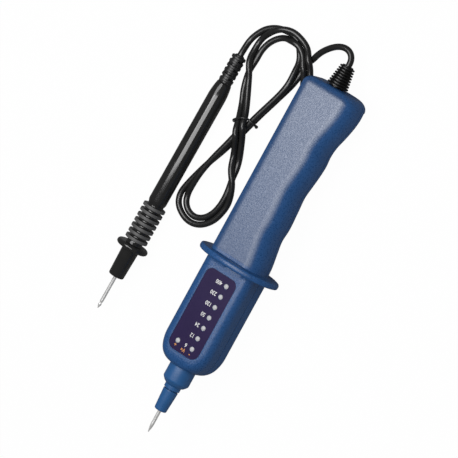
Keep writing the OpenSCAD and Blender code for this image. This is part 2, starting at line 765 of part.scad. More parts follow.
module cord_tie() {
    color(black) translate([CROSSING[0], CROSSING[1], crossing_h]) cylinder(r = 2, h = 1);
}

front_shell();
back_shell();
nose_cone();
tip_sleeve();
tip_needle();
tip_contact();
display_label();
led(0);  // led_400v
led(1);  // led_230v
led(2);  // led_120v
led(3);  // led_50v
led(4);  // led_24v
led(5);  // led_12v
led(6);  // led_minus
led(7);  // led_plus
circuit_board();
comparator_chip();
divider_resistors();
rectifier_diodes();
filter_capacitor();
series_resistor(-6);  // series_resistor_a
series_resistor(3.5);  // series_resistor_b
housing_screws();
strain_relief();
inner_lead();
probe_handle();
probe_needle();
probe_solder_cup();
probe_boot();
probe_inner_lead();
cord_lead_main();
cord_hank();
cord_lead_probe();
cord_tie();
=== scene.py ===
"""Dresses the two-pole voltage tester: a blue hand unit with a light display, a black probe and the cable between them.

Lengths in the classes are millimetres in a unit's own frame: x across, y from the tip to the tail, z up through the
face. A unit's `Rest` turns them into the shared frame's metres.
"""

from __future__ import annotations

import logging
import math
import sys
from dataclasses import dataclass
from enum import Enum
from typing import Any, Optional, Sequence, Union

import bmesh
import bpy
import numpy as np
from mathutils import Matrix, Vector

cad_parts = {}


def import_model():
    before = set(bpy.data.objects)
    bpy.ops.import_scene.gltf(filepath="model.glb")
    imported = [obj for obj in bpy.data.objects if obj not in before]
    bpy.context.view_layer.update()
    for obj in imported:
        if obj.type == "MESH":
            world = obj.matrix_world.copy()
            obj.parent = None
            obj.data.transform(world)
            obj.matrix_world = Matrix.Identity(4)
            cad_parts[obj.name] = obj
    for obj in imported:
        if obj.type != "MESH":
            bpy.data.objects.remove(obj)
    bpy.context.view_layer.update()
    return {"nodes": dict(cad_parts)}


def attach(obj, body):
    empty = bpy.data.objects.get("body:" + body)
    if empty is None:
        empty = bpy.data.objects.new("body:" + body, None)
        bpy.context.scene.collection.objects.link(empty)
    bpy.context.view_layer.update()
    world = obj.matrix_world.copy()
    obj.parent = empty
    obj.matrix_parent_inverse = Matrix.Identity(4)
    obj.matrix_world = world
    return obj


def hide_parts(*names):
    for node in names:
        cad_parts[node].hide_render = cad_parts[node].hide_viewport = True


LOG = logging.getLogger("tester")
MM = 0.001
Points = np.ndarray
Piece = bpy.types.Object
Colour = tuple[float, float, float]
Corner = tuple[float, float, float]
Word = tuple[str, float, float, float]
Light = tuple[str, float, float]


# --- Shader nodes -----------------------------------------------------------


class Wire:
    """One output socket of a material, which takes part in sums as a number does."""

    def __init__(self, shader: "Shader", socket: bpy.types.NodeSocket) -> None:
        """Keeps the socket and the material that it belongs to."""
        self.shader = shader
        self.socket = socket

    def maths(self, operation: str, *values: Union["Wire", float]) -> "Wire":
        """Adds a Math node with that operation on the given values, and returns its output."""
        return self.shader.wire("ShaderNodeMath", {"operation": operation}, dict(enumerate(values)))

    def __add__(self, other: Union["Wire", float]) -> "Wire":
        """Sum."""
        return self.maths("ADD", self, other)

    def __radd__(self, other: float) -> "Wire":
        """Sum, with the number first."""
        return self.maths("ADD", other, self)

    def __sub__(self, other: Union["Wire", float]) -> "Wire":
        """Difference."""
        return self.maths("SUBTRACT", self, other)

    def __rsub__(self, other: float) -> "Wire":
        """Difference, with the number first."""
        return self.maths("SUBTRACT", other, self)

    def __mul__(self, other: Union["Wire", float]) -> "Wire":
        """Product."""
        return self.maths("MULTIPLY", self, other)

    def __rmul__(self, other: float) -> "Wire":
        """Product, with the number first."""
        return self.maths("MULTIPLY", other, self)

    def above(self, limit: float, soft: float) -> "Wire":
        """0 below limit and 1 above limit + soft, with a straight rise between them."""
        return self.shader.wire("ShaderNodeMapRange", {}, {"Value": self, "From Min": limit, "From Max": limit + soft})


class Shader:
    """The node tree of one material, with a Principled shader at its end."""

    PREFIX = "tester_"

    def __init__(self, name: str, **constants: Any) -> None:
        """Starts the material.

        Args:
            name: the material's name.
            constants: values for the shader's own sockets, with _ for a space.
        """
        self.material = bpy.data.materials.new(self.PREFIX + name)
        self.material.use_nodes = True
        self.tree = self.material.node_tree
        self.tree.nodes.clear()
        self.surface = self.node("ShaderNodeBsdfPrincipled", {}, {k.replace("_", " "): v for k, v in constants.items()})
        self.end = self.node("ShaderNodeOutputMaterial", {}, {})
        self.tree.links.new(self.surface.outputs[0], self.end.inputs["Surface"])

    def node(self, kind: str, settings: dict[str, Any], sockets: dict[Any, Any]) -> bpy.types.Node:
        """Adds one node.

        Args:
            kind: the node's type.
            settings: its properties, set first.
            sockets: a value or a Wire for each input, by name or number.

        Returns:
            The node.
        """
        node = self.tree.nodes.new(kind)
        for key, value in settings.items():
            setattr(node, key, value)
        for key, value in sockets.items():
            if isinstance(value, Wire):
                self.tree.links.new(value.socket, node.inputs[key])
            else:
                node.inputs[key].default_value = value
        return node

    def wire(self, kind: str, settings: dict[str, Any], sockets: dict[Any, Any], output: Any = 0) -> Wire:
        """Adds one node and returns one of its outputs."""
        return Wire(self, self.node(kind, settings, sockets).outputs[output])

    def place(self, output: str = "Object") -> Wire:
        """Object coordinates, or another output of the Texture Coordinate node."""
        return self.wire("ShaderNodeTexCoord", {}, {}, output)

    def own(self, rest: "Rest", axis: int) -> Wire:
        """A unit's own coordinate in metres: (p - origin) . e, with e its axis 0, 1 or 2 in the shared frame."""
        origin = rest.put(np.zeros(3))
        e = (rest.put(np.eye(3)[axis]) - origin) / MM
        sockets = {0: self.place(), 1: tuple(e)}
        return self.wire("ShaderNodeVectorMath", {"operation": "DOT_PRODUCT"}, sockets, "Value") - float(origin @ e)

    def stretch(self, at: Wire, scale: tuple[float, float, float]) -> Wire:
        """The place, times the scale along each axis."""
        return self.wire("ShaderNodeMapping", {}, {"Vector": at, "Scale": scale})

    def noise(self, scale: float, detail: float, roughness: float, at: Optional[Wire] = None) -> Wire:
        """Cloudy values from 0 to 1, with `scale` features per metre."""
        sockets = {"Vector": at or self.place(), "Scale": scale, "Detail": detail, "Roughness": roughness}
        return self.wire("ShaderNodeTexNoise", {}, sockets)

    def blend(self, factor: Wire, a: Colour, b: Colour) -> Wire:
        """Colour from a at 0 to b at 1."""
        return self.wire("ShaderNodeMix", {"data_type": "RGBA"}, {0: factor, 6: (*a, 1), 7: (*b, 1)}, 2)

    def tint(self, factor: Wire, colour: Colour, low: float, high: float) -> Wire:
        """The colour times `low` at 0, to the colour times `high` at 1, but at most 1."""
        return self.blend(factor, *[tuple(min(1.0, share * c) for c in colour) for share in (low, high)])

    def bump(self, height: Wire, depth: float, strength: float = 1.0) -> Wire:
        """Normals of a surface that rises by `depth` metres where height is 1."""
        return self.wire("ShaderNodeBump", {}, {"Strength": strength, "Distance": depth, "Height": height})

    def feed(self, **sockets: Wire) -> bpy.types.Material:
        """Links the shader's sockets, with _ for a space, and returns the material."""
        for name, wire in sockets.items():
            self.tree.links.new(wire.socket, self.surface.inputs[name.replace("_", " ")])
        return self.material


# --- Finishes ---------------------------------------------------------------


@dataclass(frozen=True)
class MouldedBlue:
    """Blue ABS: plain on the sides and the head, with a coarse spark-eroded field on the flat of the handle's face."""

    name: str
    colour: Colour = (0.014, 0.072, 0.215)
    grain: float = 1300.0
    grain_depth: float = 0.00008
    roughness: float = 0.34
    face: float = 0.0104
    guard: float = 0.0035

    def field(self, s: Shader) -> Wire:
        """1 where the hand unit's own z is above `face` and its y beyond `guard`, in metres, and 0 elsewhere."""
        return s.own(UNIT, 2).above(self.face, 0.0014) * s.own(UNIT, 1).above(self.guard, 0.0006)

    def build(self) -> bpy.types.Material:
        """Grain in relief, colour and gloss, stronger in the field, with a soft mottle and a few rubbed spots."""
        s = Shader(self.name, Specular_IOR_Level=0.5, Coat_IOR=2.0, Coat_Roughness=0.44)
        fine = s.noise(self.grain, 2.0, 0.6).above(0.36, 0.28)
        broad = s.noise(38.0, 3.0, 0.55)
        spot = s.noise(420.0, 2.0, 0.5).above(0.63, 0.08)
        field = self.field(s)
        darker, lighter = tuple(0.72 * c for c in self.colour), tuple(1.20 * c + 0.003 for c in self.colour)
        base = s.blend(broad * 0.4 + fine * 0.6 - field * 0.5, darker, lighter)
        rough = self.roughness + 0.08 * field + (fine - 0.5) * 0.16 + (broad - 0.5) * 0.08 - spot * 0.04
        sheen = field * (0.40 + 0.65 * fine) * (0.58 + 0.34 * s.own(UNIT, 1).above(self.guard, 0.09))
        relief = s.bump(fine * (0.3 + 0.7 * field), self.grain_depth)
        return s.feed(Base_Color=base, Roughness=rough, Coat_Weight=sheen, Normal=relief)


@dataclass(frozen=True)
class TurnedBlue:
    """Smoother blue plastic of the nose pieces."""

    name: str
    colour: Colour = (0.018, 0.095, 0.262)
    roughness: float = 0.36
    depth: float = 0.00003

    def build(self) -> bpy.types.Material:
        """Soft mottle and light grain, in the colour and the roughness."""
        s = Shader(self.name, Specular_IOR_Level=0.55)
        fine = s.noise(1500.0, 2.0, 0.6)
        broad = s.noise(110.0, 3.0, 0.55)
        base = s.tint(broad, self.colour, 0.82, 1.16)
        rough = self.roughness + (broad - 0.5) * 0.22 + (fine - 0.5) * 0.14
        return s.feed(Base_Color=base, Roughness=rough, Normal=s.bump(fine, self.depth))


@dataclass(frozen=True)
class BlackPlastic:
    """Black moulded plastic or rubber: near black, with a grain and a mottled gloss."""

    name: str
    shade: float = 0.012
    roughness: float = 0.34
    grain: float = 1800.0
    depth: float = 0.00002
    level: float = 0.5
    mottle: float = 0.16

    def build(self) -> bpy.types.Material:
        """Grain in relief, mottle in the roughness and a trace of dust in the colour."""
        s = Shader(self.name, Specular_IOR_Level=self.level)
        fine = s.noise(self.grain, 3.0, 0.6)
        broad = s.noise(150.0, 3.0, 0.6)
        dust = s.noise(900.0, 4.0, 0.7).above(0.60, 0.2)
        dark, light = [tuple(k * self.shade for k in shares) for shares in ((0.75, 0.75, 0.75), (1.7, 1.7, 1.8))]
        base = s.blend(broad * 0.6 + dust * 0.4, dark, light)
        rough = self.roughness + (broad + 0.6 * fine + 0.3 * dust - 0.8) * self.mottle
        return s.feed(Base_Color=base, Roughness=rough, Normal=s.bump(fine, self.depth))


@dataclass(frozen=True)
class ProbeBlack:
    """Black plastic of the probe: polished on its barrel, matt on the grip's rings between `near` and `far` metres,
    with a painted sheen on the rings' crests.
    """

    name: str
    shade: float = 0.012
    roughness: float = 0.11
    matt: float = 0.50
    near: float = 0.0019
    far: float = 0.0264
    crest: float = 0.0059

    def build(self) -> bpy.types.Material:
        """Two glosses, by the place along the probe and by x^2 + z^2 above crest^2, with a faint mottle; the same mask
        paints the crests up to 6.5 times lighter in colour, a painted sheen.
        """
        s = Shader(self.name, Specular_IOR_Level=0.6)
        x, y, z = [s.own(PROBE, axis) for axis in range(3)]
        out = (x * x + z * z) * (1 / self.crest**2)
        # mask of the rings' crests: it sets their matt gloss, and it also paints their sheen into the colour below
        rings = (y.above(self.near, 0.0004) - y.above(self.far, 0.0004)) * out.above(0.92, 0.16)
        fine = s.noise(900.0, 3.0, 0.6)
        broad = s.noise(120.0, 3.0, 0.6)
        # painted sheen: the ring crests' colour rises towards 6.5 times the black's shade, while the gaps between them
        # keep the plain dark black as painted shade
        base = s.tint(broad * 0.10 + fine * 0.04 + rings * 0.86, (self.shade,) * 3, 0.9, 6.5)
        rough = self.roughness + (self.matt - self.roughness) * rings + (broad - 0.5) * 0.04 + (fine - 0.5) * 0.02
        return s.feed(Base_Color=base, Roughness=rough, Normal=s.bump(broad, 0.000001))


@dataclass(frozen=True)
class CableJacket:
    """Glossy black PVC of the cable, with the slow waves that extrusion leaves, along its own length."""

    name: str
    shade: float = 0.013
    roughness: float = 0.25
    waves: float = 160.0

    def build(self) -> bpy.types.Material:
        """Waves along the cable from its UV map, fine dust and a soft change of gloss."""
        s = Shader(self.name, Specular_IOR_Level=0.55)
        waves = s.noise(1.0, 2.0, 0.5, s.stretch(s.place("UV"), (3.0, self.waves, 1.0)))
        dust = s.noise(1300.0, 3.0, 0.65).above(0.58, 0.2)
        base = s.tint(dust * 0.5 + waves * 0.5, (self.shade,) * 3, 0.7, 2.0)
        rough = self.roughness + (waves - 0.5) * 0.05 + dust * 0.02
        return s.feed(Base_Color=base, Roughness=rough, Normal=s.bump(waves, 0.000005, 0.4))


@dataclass(frozen=True)
class Metal:
    """Bare metal with turning or rolling marks round or along the pieces."""

    name: str
    colour: Colour
    roughness: float
    marks: float = 2400.0
    depth: float = 0.000004
    metallic: float = 1.0

    def build(self) -> bpy.types.Material:
        """Fine marks across y, in relief and roughness, and faint stains in the colour."""
        s = Shader(self.name, Metallic=self.metallic)
        lines = s.noise(self.marks, 3.0, 0.6, s.stretch(s.place(), (0.12, 1.0, 0.12)))
        stain = s.noise(190.0, 4.0, 0.6)
        base = s.tint(stain, self.colour, 0.80, 1.10)
        rough = self.roughness + (lines - 0.5) * 0.14 + (stain - 0.5) * 0.12
        return s.feed(Base_Color=base, Roughness=rough, Normal=s.bump(lines, self.depth))


@dataclass(frozen=True)
class DisplayFilm:
    """Aubergine polyester film over the display, printed on its back."""

    name: str
    dark: Colour = (0.007, 0.001, 0.036)
    light: Colour = (0.020, 0.009, 0.064)

    def build(self) -> bpy.types.Material:
        """Cloudy ink from deep violet to aubergine under a clear, faintly textured top."""
        s = Shader(self.name, Coat_Roughness=0.30, Specular_IOR_Level=0.15)
        cloud = s.noise(42.0, 2.0, 0.5)
        speck = s.noise(1500.0, 3.0, 0.7)
        base = s.blend(cloud * 0.75 + speck * 0.35, self.dark, self.light)
        rough = 0.42 + (speck - 0.5) * 0.2
        return s.feed(Base_Color=base, Roughness=rough, Coat_Weight=0.01 + 0.03 * cloud, Normal=s.bump(speck, 0.00001))


@dataclass(frozen=True)
class LedLens:
    """Milky lens of an unlit LED."""

    name: str
    colour: Colour = (0.47, 0.47, 0.485)

    def build(self) -> bpy.types.Material:
        """Grainy grey with a satin top."""
        s = Shader(self.name, Specular_IOR_Level=0.5)
        grain = s.noise(1700.0, 3.0, 0.6)
        base = s.tint(grain, self.colour, 0.62, 1.35)
        return s.feed(Base_Color=base, Roughness=0.30 + 0.25 * grain, Normal=s.bump(grain, 0.00002))


@dataclass(frozen=True)
class PrintInk:
    """Screen-printed ink with the tiny breaks of a mesh print."""

    name: str
    colour: Colour = (0.80, 0.80, 0.80)

    def build(self) -> bpy.types.Material:
        """Matt ink, thinner in places."""
        s = Shader(self.name, Specular_IOR_Level=0.3)
        breaks = s.noise(2600.0, 2.0, 0.6)
        return s.feed(Base_Color=s.tint(breaks.above(0.35, 0.3), self.colour, 0.72, 1.0), Roughness=0.55 + 0.2 * breaks)


@dataclass(frozen=True)
class Laminate:
    """Green solder mask over woven glass."""

    name: str
    colour: Colour = (0.008, 0.10, 0.032)
    weave: float = 420.0

    def build(self) -> bpy.types.Material:
        """Two crossed waves for the weave, in the colour and the gloss."""
        s = Shader(self.name, Specular_IOR_Level=0.5, Coat_Roughness=0.2)
        sockets = {"Vector": s.place(), "Scale": self.weave, "Distortion": 0.6}
        wide, deep = [s.wire("ShaderNodeTexWave", {"bands_direction": axis}, sockets, 1) for axis in "XY"]
        weave = wide * 0.5 + 0.5 * deep
        base = s.tint(weave, self.colour, 1.0, 1.7)
        return s.feed(Base_Color=base, Roughness=0.32 + 0.12 * weave, Normal=s.bump(weave, 0.00001))


@dataclass(frozen=True)
class CastPart:
    """Opaque lacquer or epoxy of a small electronic part."""

    name: str
    colour: Colour
    roughness: float

    def build(self) -> bpy.types.Material:
        """Cloudy colour with pits in the relief."""
        s = Shader(self.name, Specular_IOR_Level=0.5)
        pits = s.noise(2200.0, 4.0, 0.7)
        base = s.tint(s.noise(260.0, 3.0, 0.6), self.colour, 0.75, 1.2)
        return s.feed(Base_Color=base, Roughness=self.roughness + (pits - 0.5) * 0.25, Normal=s.bump(pits, 0.00002))


class Finish(Enum):
    """Every finish on the tester, with the name of the material slot that it belongs to."""

    SHELL = ("blue_shell", MouldedBlue("shell_blue"))
    NOSE = ("blue_nose", TurnedBlue("nose_blue"))
    FILM = ("label_film", DisplayFilm("display_film"))
    WHITE_INK = ("label_film", PrintInk("white_ink"))
    ORANGE_INK = ("label_film", PrintInk("orange_ink", (0.80, 0.36, 0.10)))
    LED = ("led_lens", LedLens("led_lens"))
    STEEL = ("needle_steel", Metal("needle_steel", (0.88, 0.88, 0.87), 0.34, metallic=0.55))
    SCREW = ("screw_steel", Metal("screw_steel", (0.55, 0.55, 0.54), 0.34))
    BRASS = ("brass", Metal("brass", (0.78, 0.55, 0.24), 0.28))
    BOARD = ("board", Laminate("board_laminate"))
    CHIP = ("black_component", CastPart("epoxy_black", (0.014, 0.014, 0.015), 0.5))
    RESISTOR = ("resistor", CastPart("resistor_lacquer", (0.55, 0.38, 0.20), 0.4))
    CAN = ("can", Metal("capacitor_can", (0.58, 0.60, 0.63), 0.32, 1500.0))
    BOOT = ("boot_rubber", BlackPlastic("boot_rubber", 0.006, 0.26, 1500.0, 0.00001, 0.35, 0.08))
    PROBE = ("black_plastic", ProbeBlack("probe_plastic"))
    LINKS = ("black_plastic", BlackPlastic("link_plastic", 0.016, 0.36, 1700.0, 0.00001))
    CABLE = ("cable", CableJacket("cable_jacket"))
    TIE = ("tie", BlackPlastic("tie_plastic", 0.016, 0.30, 1600.0, 0.00002, 0.5))

    def material(self) -> bpy.types.Material:
        """The finish's material, built once."""
        return bpy.data.materials.get(Shader.PREFIX + self.value[1].name) or self.value[1].build()

    def dress(self, obj: Piece) -> None:
        """Gives the piece this finish only, in every slot, and adds a slot if it has none."""
        if len(obj.material_slots) == 0:
            obj.data.materials.append(None)
        for slot in obj.material_slots:
            slot.material = self.material()


# --- Meshes -----------------------------------------------------------------


@dataclass(frozen=True)
class Rest:
    """Where a unit lies: its own frame is tipped about x, turned about z and shifted."""

    shift: tuple[float, float, float]
    tip: float
    turn: float = 0.0

    def put(self, points: Points) -> Points:
        """Own millimetres to shared metres: y' = y cos tip + z sin tip, z' = z cos tip - y sin tip,
        then x and y turned by `turn`, then the shift."""
        p = np.asarray(points, float)
        x, y, z = p[..., 0], p[..., 1], p[..., 2]
        c, s = math.cos(self.tip), math.sin(self.tip)
        y, z = y * c + z * s, z * c - y * s
        c, s = math.cos(self.turn), math.sin(self.turn)
        return MM * (np.stack([x * c - y * s, x * s + y * c, z], axis=-1) + np.array(self.shift))

    @classmethod
    def on_floor(cls, x: float, y: float, reach: float, tail: float, run: float, turn: float = 0.0) -> "Rest":
        """Rest of a unit that touches the floor at its guard and its tail.

        Args:
            x: place of the guard's middle across the frame.
            y: place of the guard's middle along the frame.
            reach: the guard's half height.
            tail: how far below the axis the tail reaches.
            run: distance from the guard to the tail.
            turn: the angle about z, in degrees.
        """
        tip = math.atan((reach - tail) / run)
        return cls((x, y, reach * math.cos(tip)), tip, math.radians(turn))


UNIT = Rest.on_floor(26.0, -9.7, 19.0, 12.0, 107.2)
PROBE = Rest.on_floor(-42.3, -35.6, 9.45, 5.3, 98.0, -1.6)


def smooth_through(points: Sequence[Sequence[float]], steps: int, tension: float = 0.5) -> Points:
    """Catmull-Rom curve: between b and c, with neighbours a and d,
    p(t) = b + (c - a) t/2 + (2a - 5b + 4c - d) t^2/2 + (3b - a - 3c + d) t^3/2.

    Args:
        points: the points that it passes.
        steps: how many points stand for each span.
        tension: the share of a neighbour's distance that sets a slope.

    Returns:
        The points on the curve, both ends included.
    """
    p = np.asarray(points, float)
    q = np.vstack([2 * p[0] - p[1], p, 2 * p[-1] - p[-2]])
    a, b, c, d = q[:-3], q[1:-2], q[2:-1], q[3:]
    t = np.linspace(0, 1, steps, endpoint=False)[:, None, None]
    curve = b + tension * ((c - a) * t + (2 * a - 5 * b + 4 * c - d) * t**2 + (3 * b - a - 3 * c + d) * t**3)
    return np.vstack([curve.transpose(1, 0, 2).reshape(-1, p.shape[1]), p[-1:]])


def rounded(outline: Sequence[Corner], steps: int, closed: bool) -> Points:
    """Outline with its corners rounded: a corner is the curve (1-t)^2 a + 2t(1-t) corner + t^2 b between points
    a and b at `radius` from it along its two sides, or at 0.45 of a shorter side.

    Args:
        outline: (r, y, radius) of each corner.
        steps: how many spans stand for each corner.
        closed: whether the last corner joins the first.

    Returns:
        Points (n, 2).
    """
    data = np.asarray(outline, float)
    p, cut = data[:, :2], data[:, 2]
    before, after = np.roll(p, 1, axis=0) - p, np.roll(p, -1, axis=0) - p
    lb, la = np.linalg.norm(before, axis=1), np.linalg.norm(after, axis=1)
    cut = np.minimum(cut, 0.45 * np.minimum(lb, la))
    if not closed:
        cut[[0, -1]] = 0
    a = p + before / np.maximum(lb, 1e-9)[:, None] * cut[:, None]
    b = p + after / np.maximum(la, 1e-9)[:, None] * cut[:, None]
    t = np.linspace(0, 1, steps + 1)[None, :, None]
    corners = (1 - t) ** 2 * a[:, None] + 2 * t * (1 - t) * p[:, None] + t**2 * b[:, None]
    flat = corners.reshape(-1, 2)
    keep = np.ones(len(flat), bool)
    keep[1:] = np.linalg.norm(np.diff(flat, axis=0), axis=1) > 1e-6
    return flat[keep]


def quads(rows: int, columns: int, round_rows: bool = False, round_columns: bool = False, start: int = 0) -> Points:
    """Corner numbers of the faces of a grid of rows x columns points, which may close on itself either way."""
    i = np.arange(rows if round_rows else rows - 1)[:, None]
    j = np.arange(columns if round_columns else columns - 1)[None, :]
    i2, j2 = (i + 1) % rows, (j + 1) % columns
    corners = [i * columns + j, i * columns + j2, i2 * columns + j2, i2 * columns + j]
    return start + np.stack(corners, axis=-1).reshape(-1, 4)


def capped(rows: int, sides: int, start: int = 0) -> list[Points]:
    """Faces of a tube of rows x sides points, with both of its ends closed."""
    end = start + np.arange(sides)[None]
    return [quads(rows, sides, False, True, start), end, end + (rows - 1) * sides]


def add(name: str, data: Any) -> Piece:
    """Makes an object of the data and links it to the scene."""
    obj = bpy.data.objects.new(name, data)
    bpy.context.scene.collection.objects.link(obj)
    return obj


def solid(name: str, points: Points, faces: Sequence[Points], edge: float = 32.0) -> Piece:
    """Makes a closed mesh from points in metres.

    Args:
        name: the piece's name.
        points: (n, 3).
        faces: arrays of corner numbers, one row for each face.
        edge: the angle in degrees from which an edge is left sharp.

    Returns:
        The object, at the origin, with its doubles merged and its normals outwards.
    """
    mesh = bpy.data.meshes.new(name)
    mesh.from_pydata(points.reshape(-1, 3).tolist(), [], [face for part in faces for face in part.tolist()])
    work = bmesh.new()
    work.from_mesh(mesh)
    bmesh.ops.remove_doubles(work, verts=work.verts, dist=2e-7)
    bmesh.ops.dissolve_degenerate(work, edges=work.edges, dist=1e-8)
    bmesh.ops.recalc_face_normals(work, faces=work.faces)
    work.to_mesh(mesh)
    work.free()
    soften(mesh, edge)
    return add(name, mesh)


def soften(mesh: bpy.types.Mesh, edge: float) -> None:
    """Shades the mesh smooth, but for edges from that angle in degrees."""
    mesh.polygons.foreach_set("use_smooth", np.ones(len(mesh.polygons), bool))
    mesh.set_sharp_from_angle(angle=math.radians(edge))
    mesh.update()


def spun(outline: Points, sides: int) -> Points:
    """Grid of (r cos a, y, r sin a), for each point (r, y) of the outline and each angle a of a full turn."""
    a = np.linspace(0, 2 * math.pi, sides, endpoint=False)[None, :]
    r, y = outline[:, :1], outline[:, 1:]
    return np.stack([r * np.cos(a), y + 0 * a, r * np.sin(a)], axis=-1)


def turned(name: str, outline: Points, rest: Rest, closed: bool, sides: int) -> Piece:
    """Piece turned round the y axis.

    Args:
        name: the piece's name.
        outline: (n, 2) of radius and y; an open one starts and ends on the axis.
        rest: where it lies.
        closed: whether the outline is a ring round a bore.
        sides: how many points stand for the circle.

    Returns:
        The object.
    """
    return solid(name, rest.put(spun(outline, sides)), [quads(len(outline), sides, closed, True)])


def prism(name: str, ring: Points, low: float, high: float) -> Piece:
    """The hand unit's ring of points (x, y), raised from low to high."""
    levels = [np.column_stack([ring, np.full(len(ring), z)]) for z in (low, high)]
    return solid(name, UNIT.put(np.concatenate(levels)), capped(2, len(ring)))


def baked(obj: Piece) -> bpy.types.Mesh:
    """A mesh of what the object is with its modifiers."""
    bpy.context.view_layer.update()
    return bpy.data.meshes.new_from_object(obj.evaluated_get(bpy.context.evaluated_depsgraph_get()))


def carve(body: Piece, cutter: Piece, how: str) -> None:
    """Applies an exact boolean of the cutter on the body's mesh and removes the cutter.

    Args:
        body: the piece that changes.
        cutter: the closed mesh that is taken from it or joined to it.
        how: DIFFERENCE or UNION.
    """
    step = body.modifiers.new("carve", "BOOLEAN")
    step.object, step.operation, step.solver = cutter, how, "EXACT"
    result = baked(body)
    body.modifiers.clear()
    old, body.data = body.data, result
    bpy.data.meshes.remove(old)
    bpy.data.objects.remove(cutter)


def finish_piece(obj: Piece, finish: Finish, *nodes: str) -> Piece:
    """Dresses a piece, lets it ride and replace its CAD nodes, and reports it."""
    finish.dress(obj)
    if nodes:
        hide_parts(*nodes)
    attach(obj, "root")
    LOG.info("%s: %d faces, %s", obj.name, len(obj.data.polygons), finish.value[1].name)
    return obj


# --- The hand unit ----------------------------------------------------------


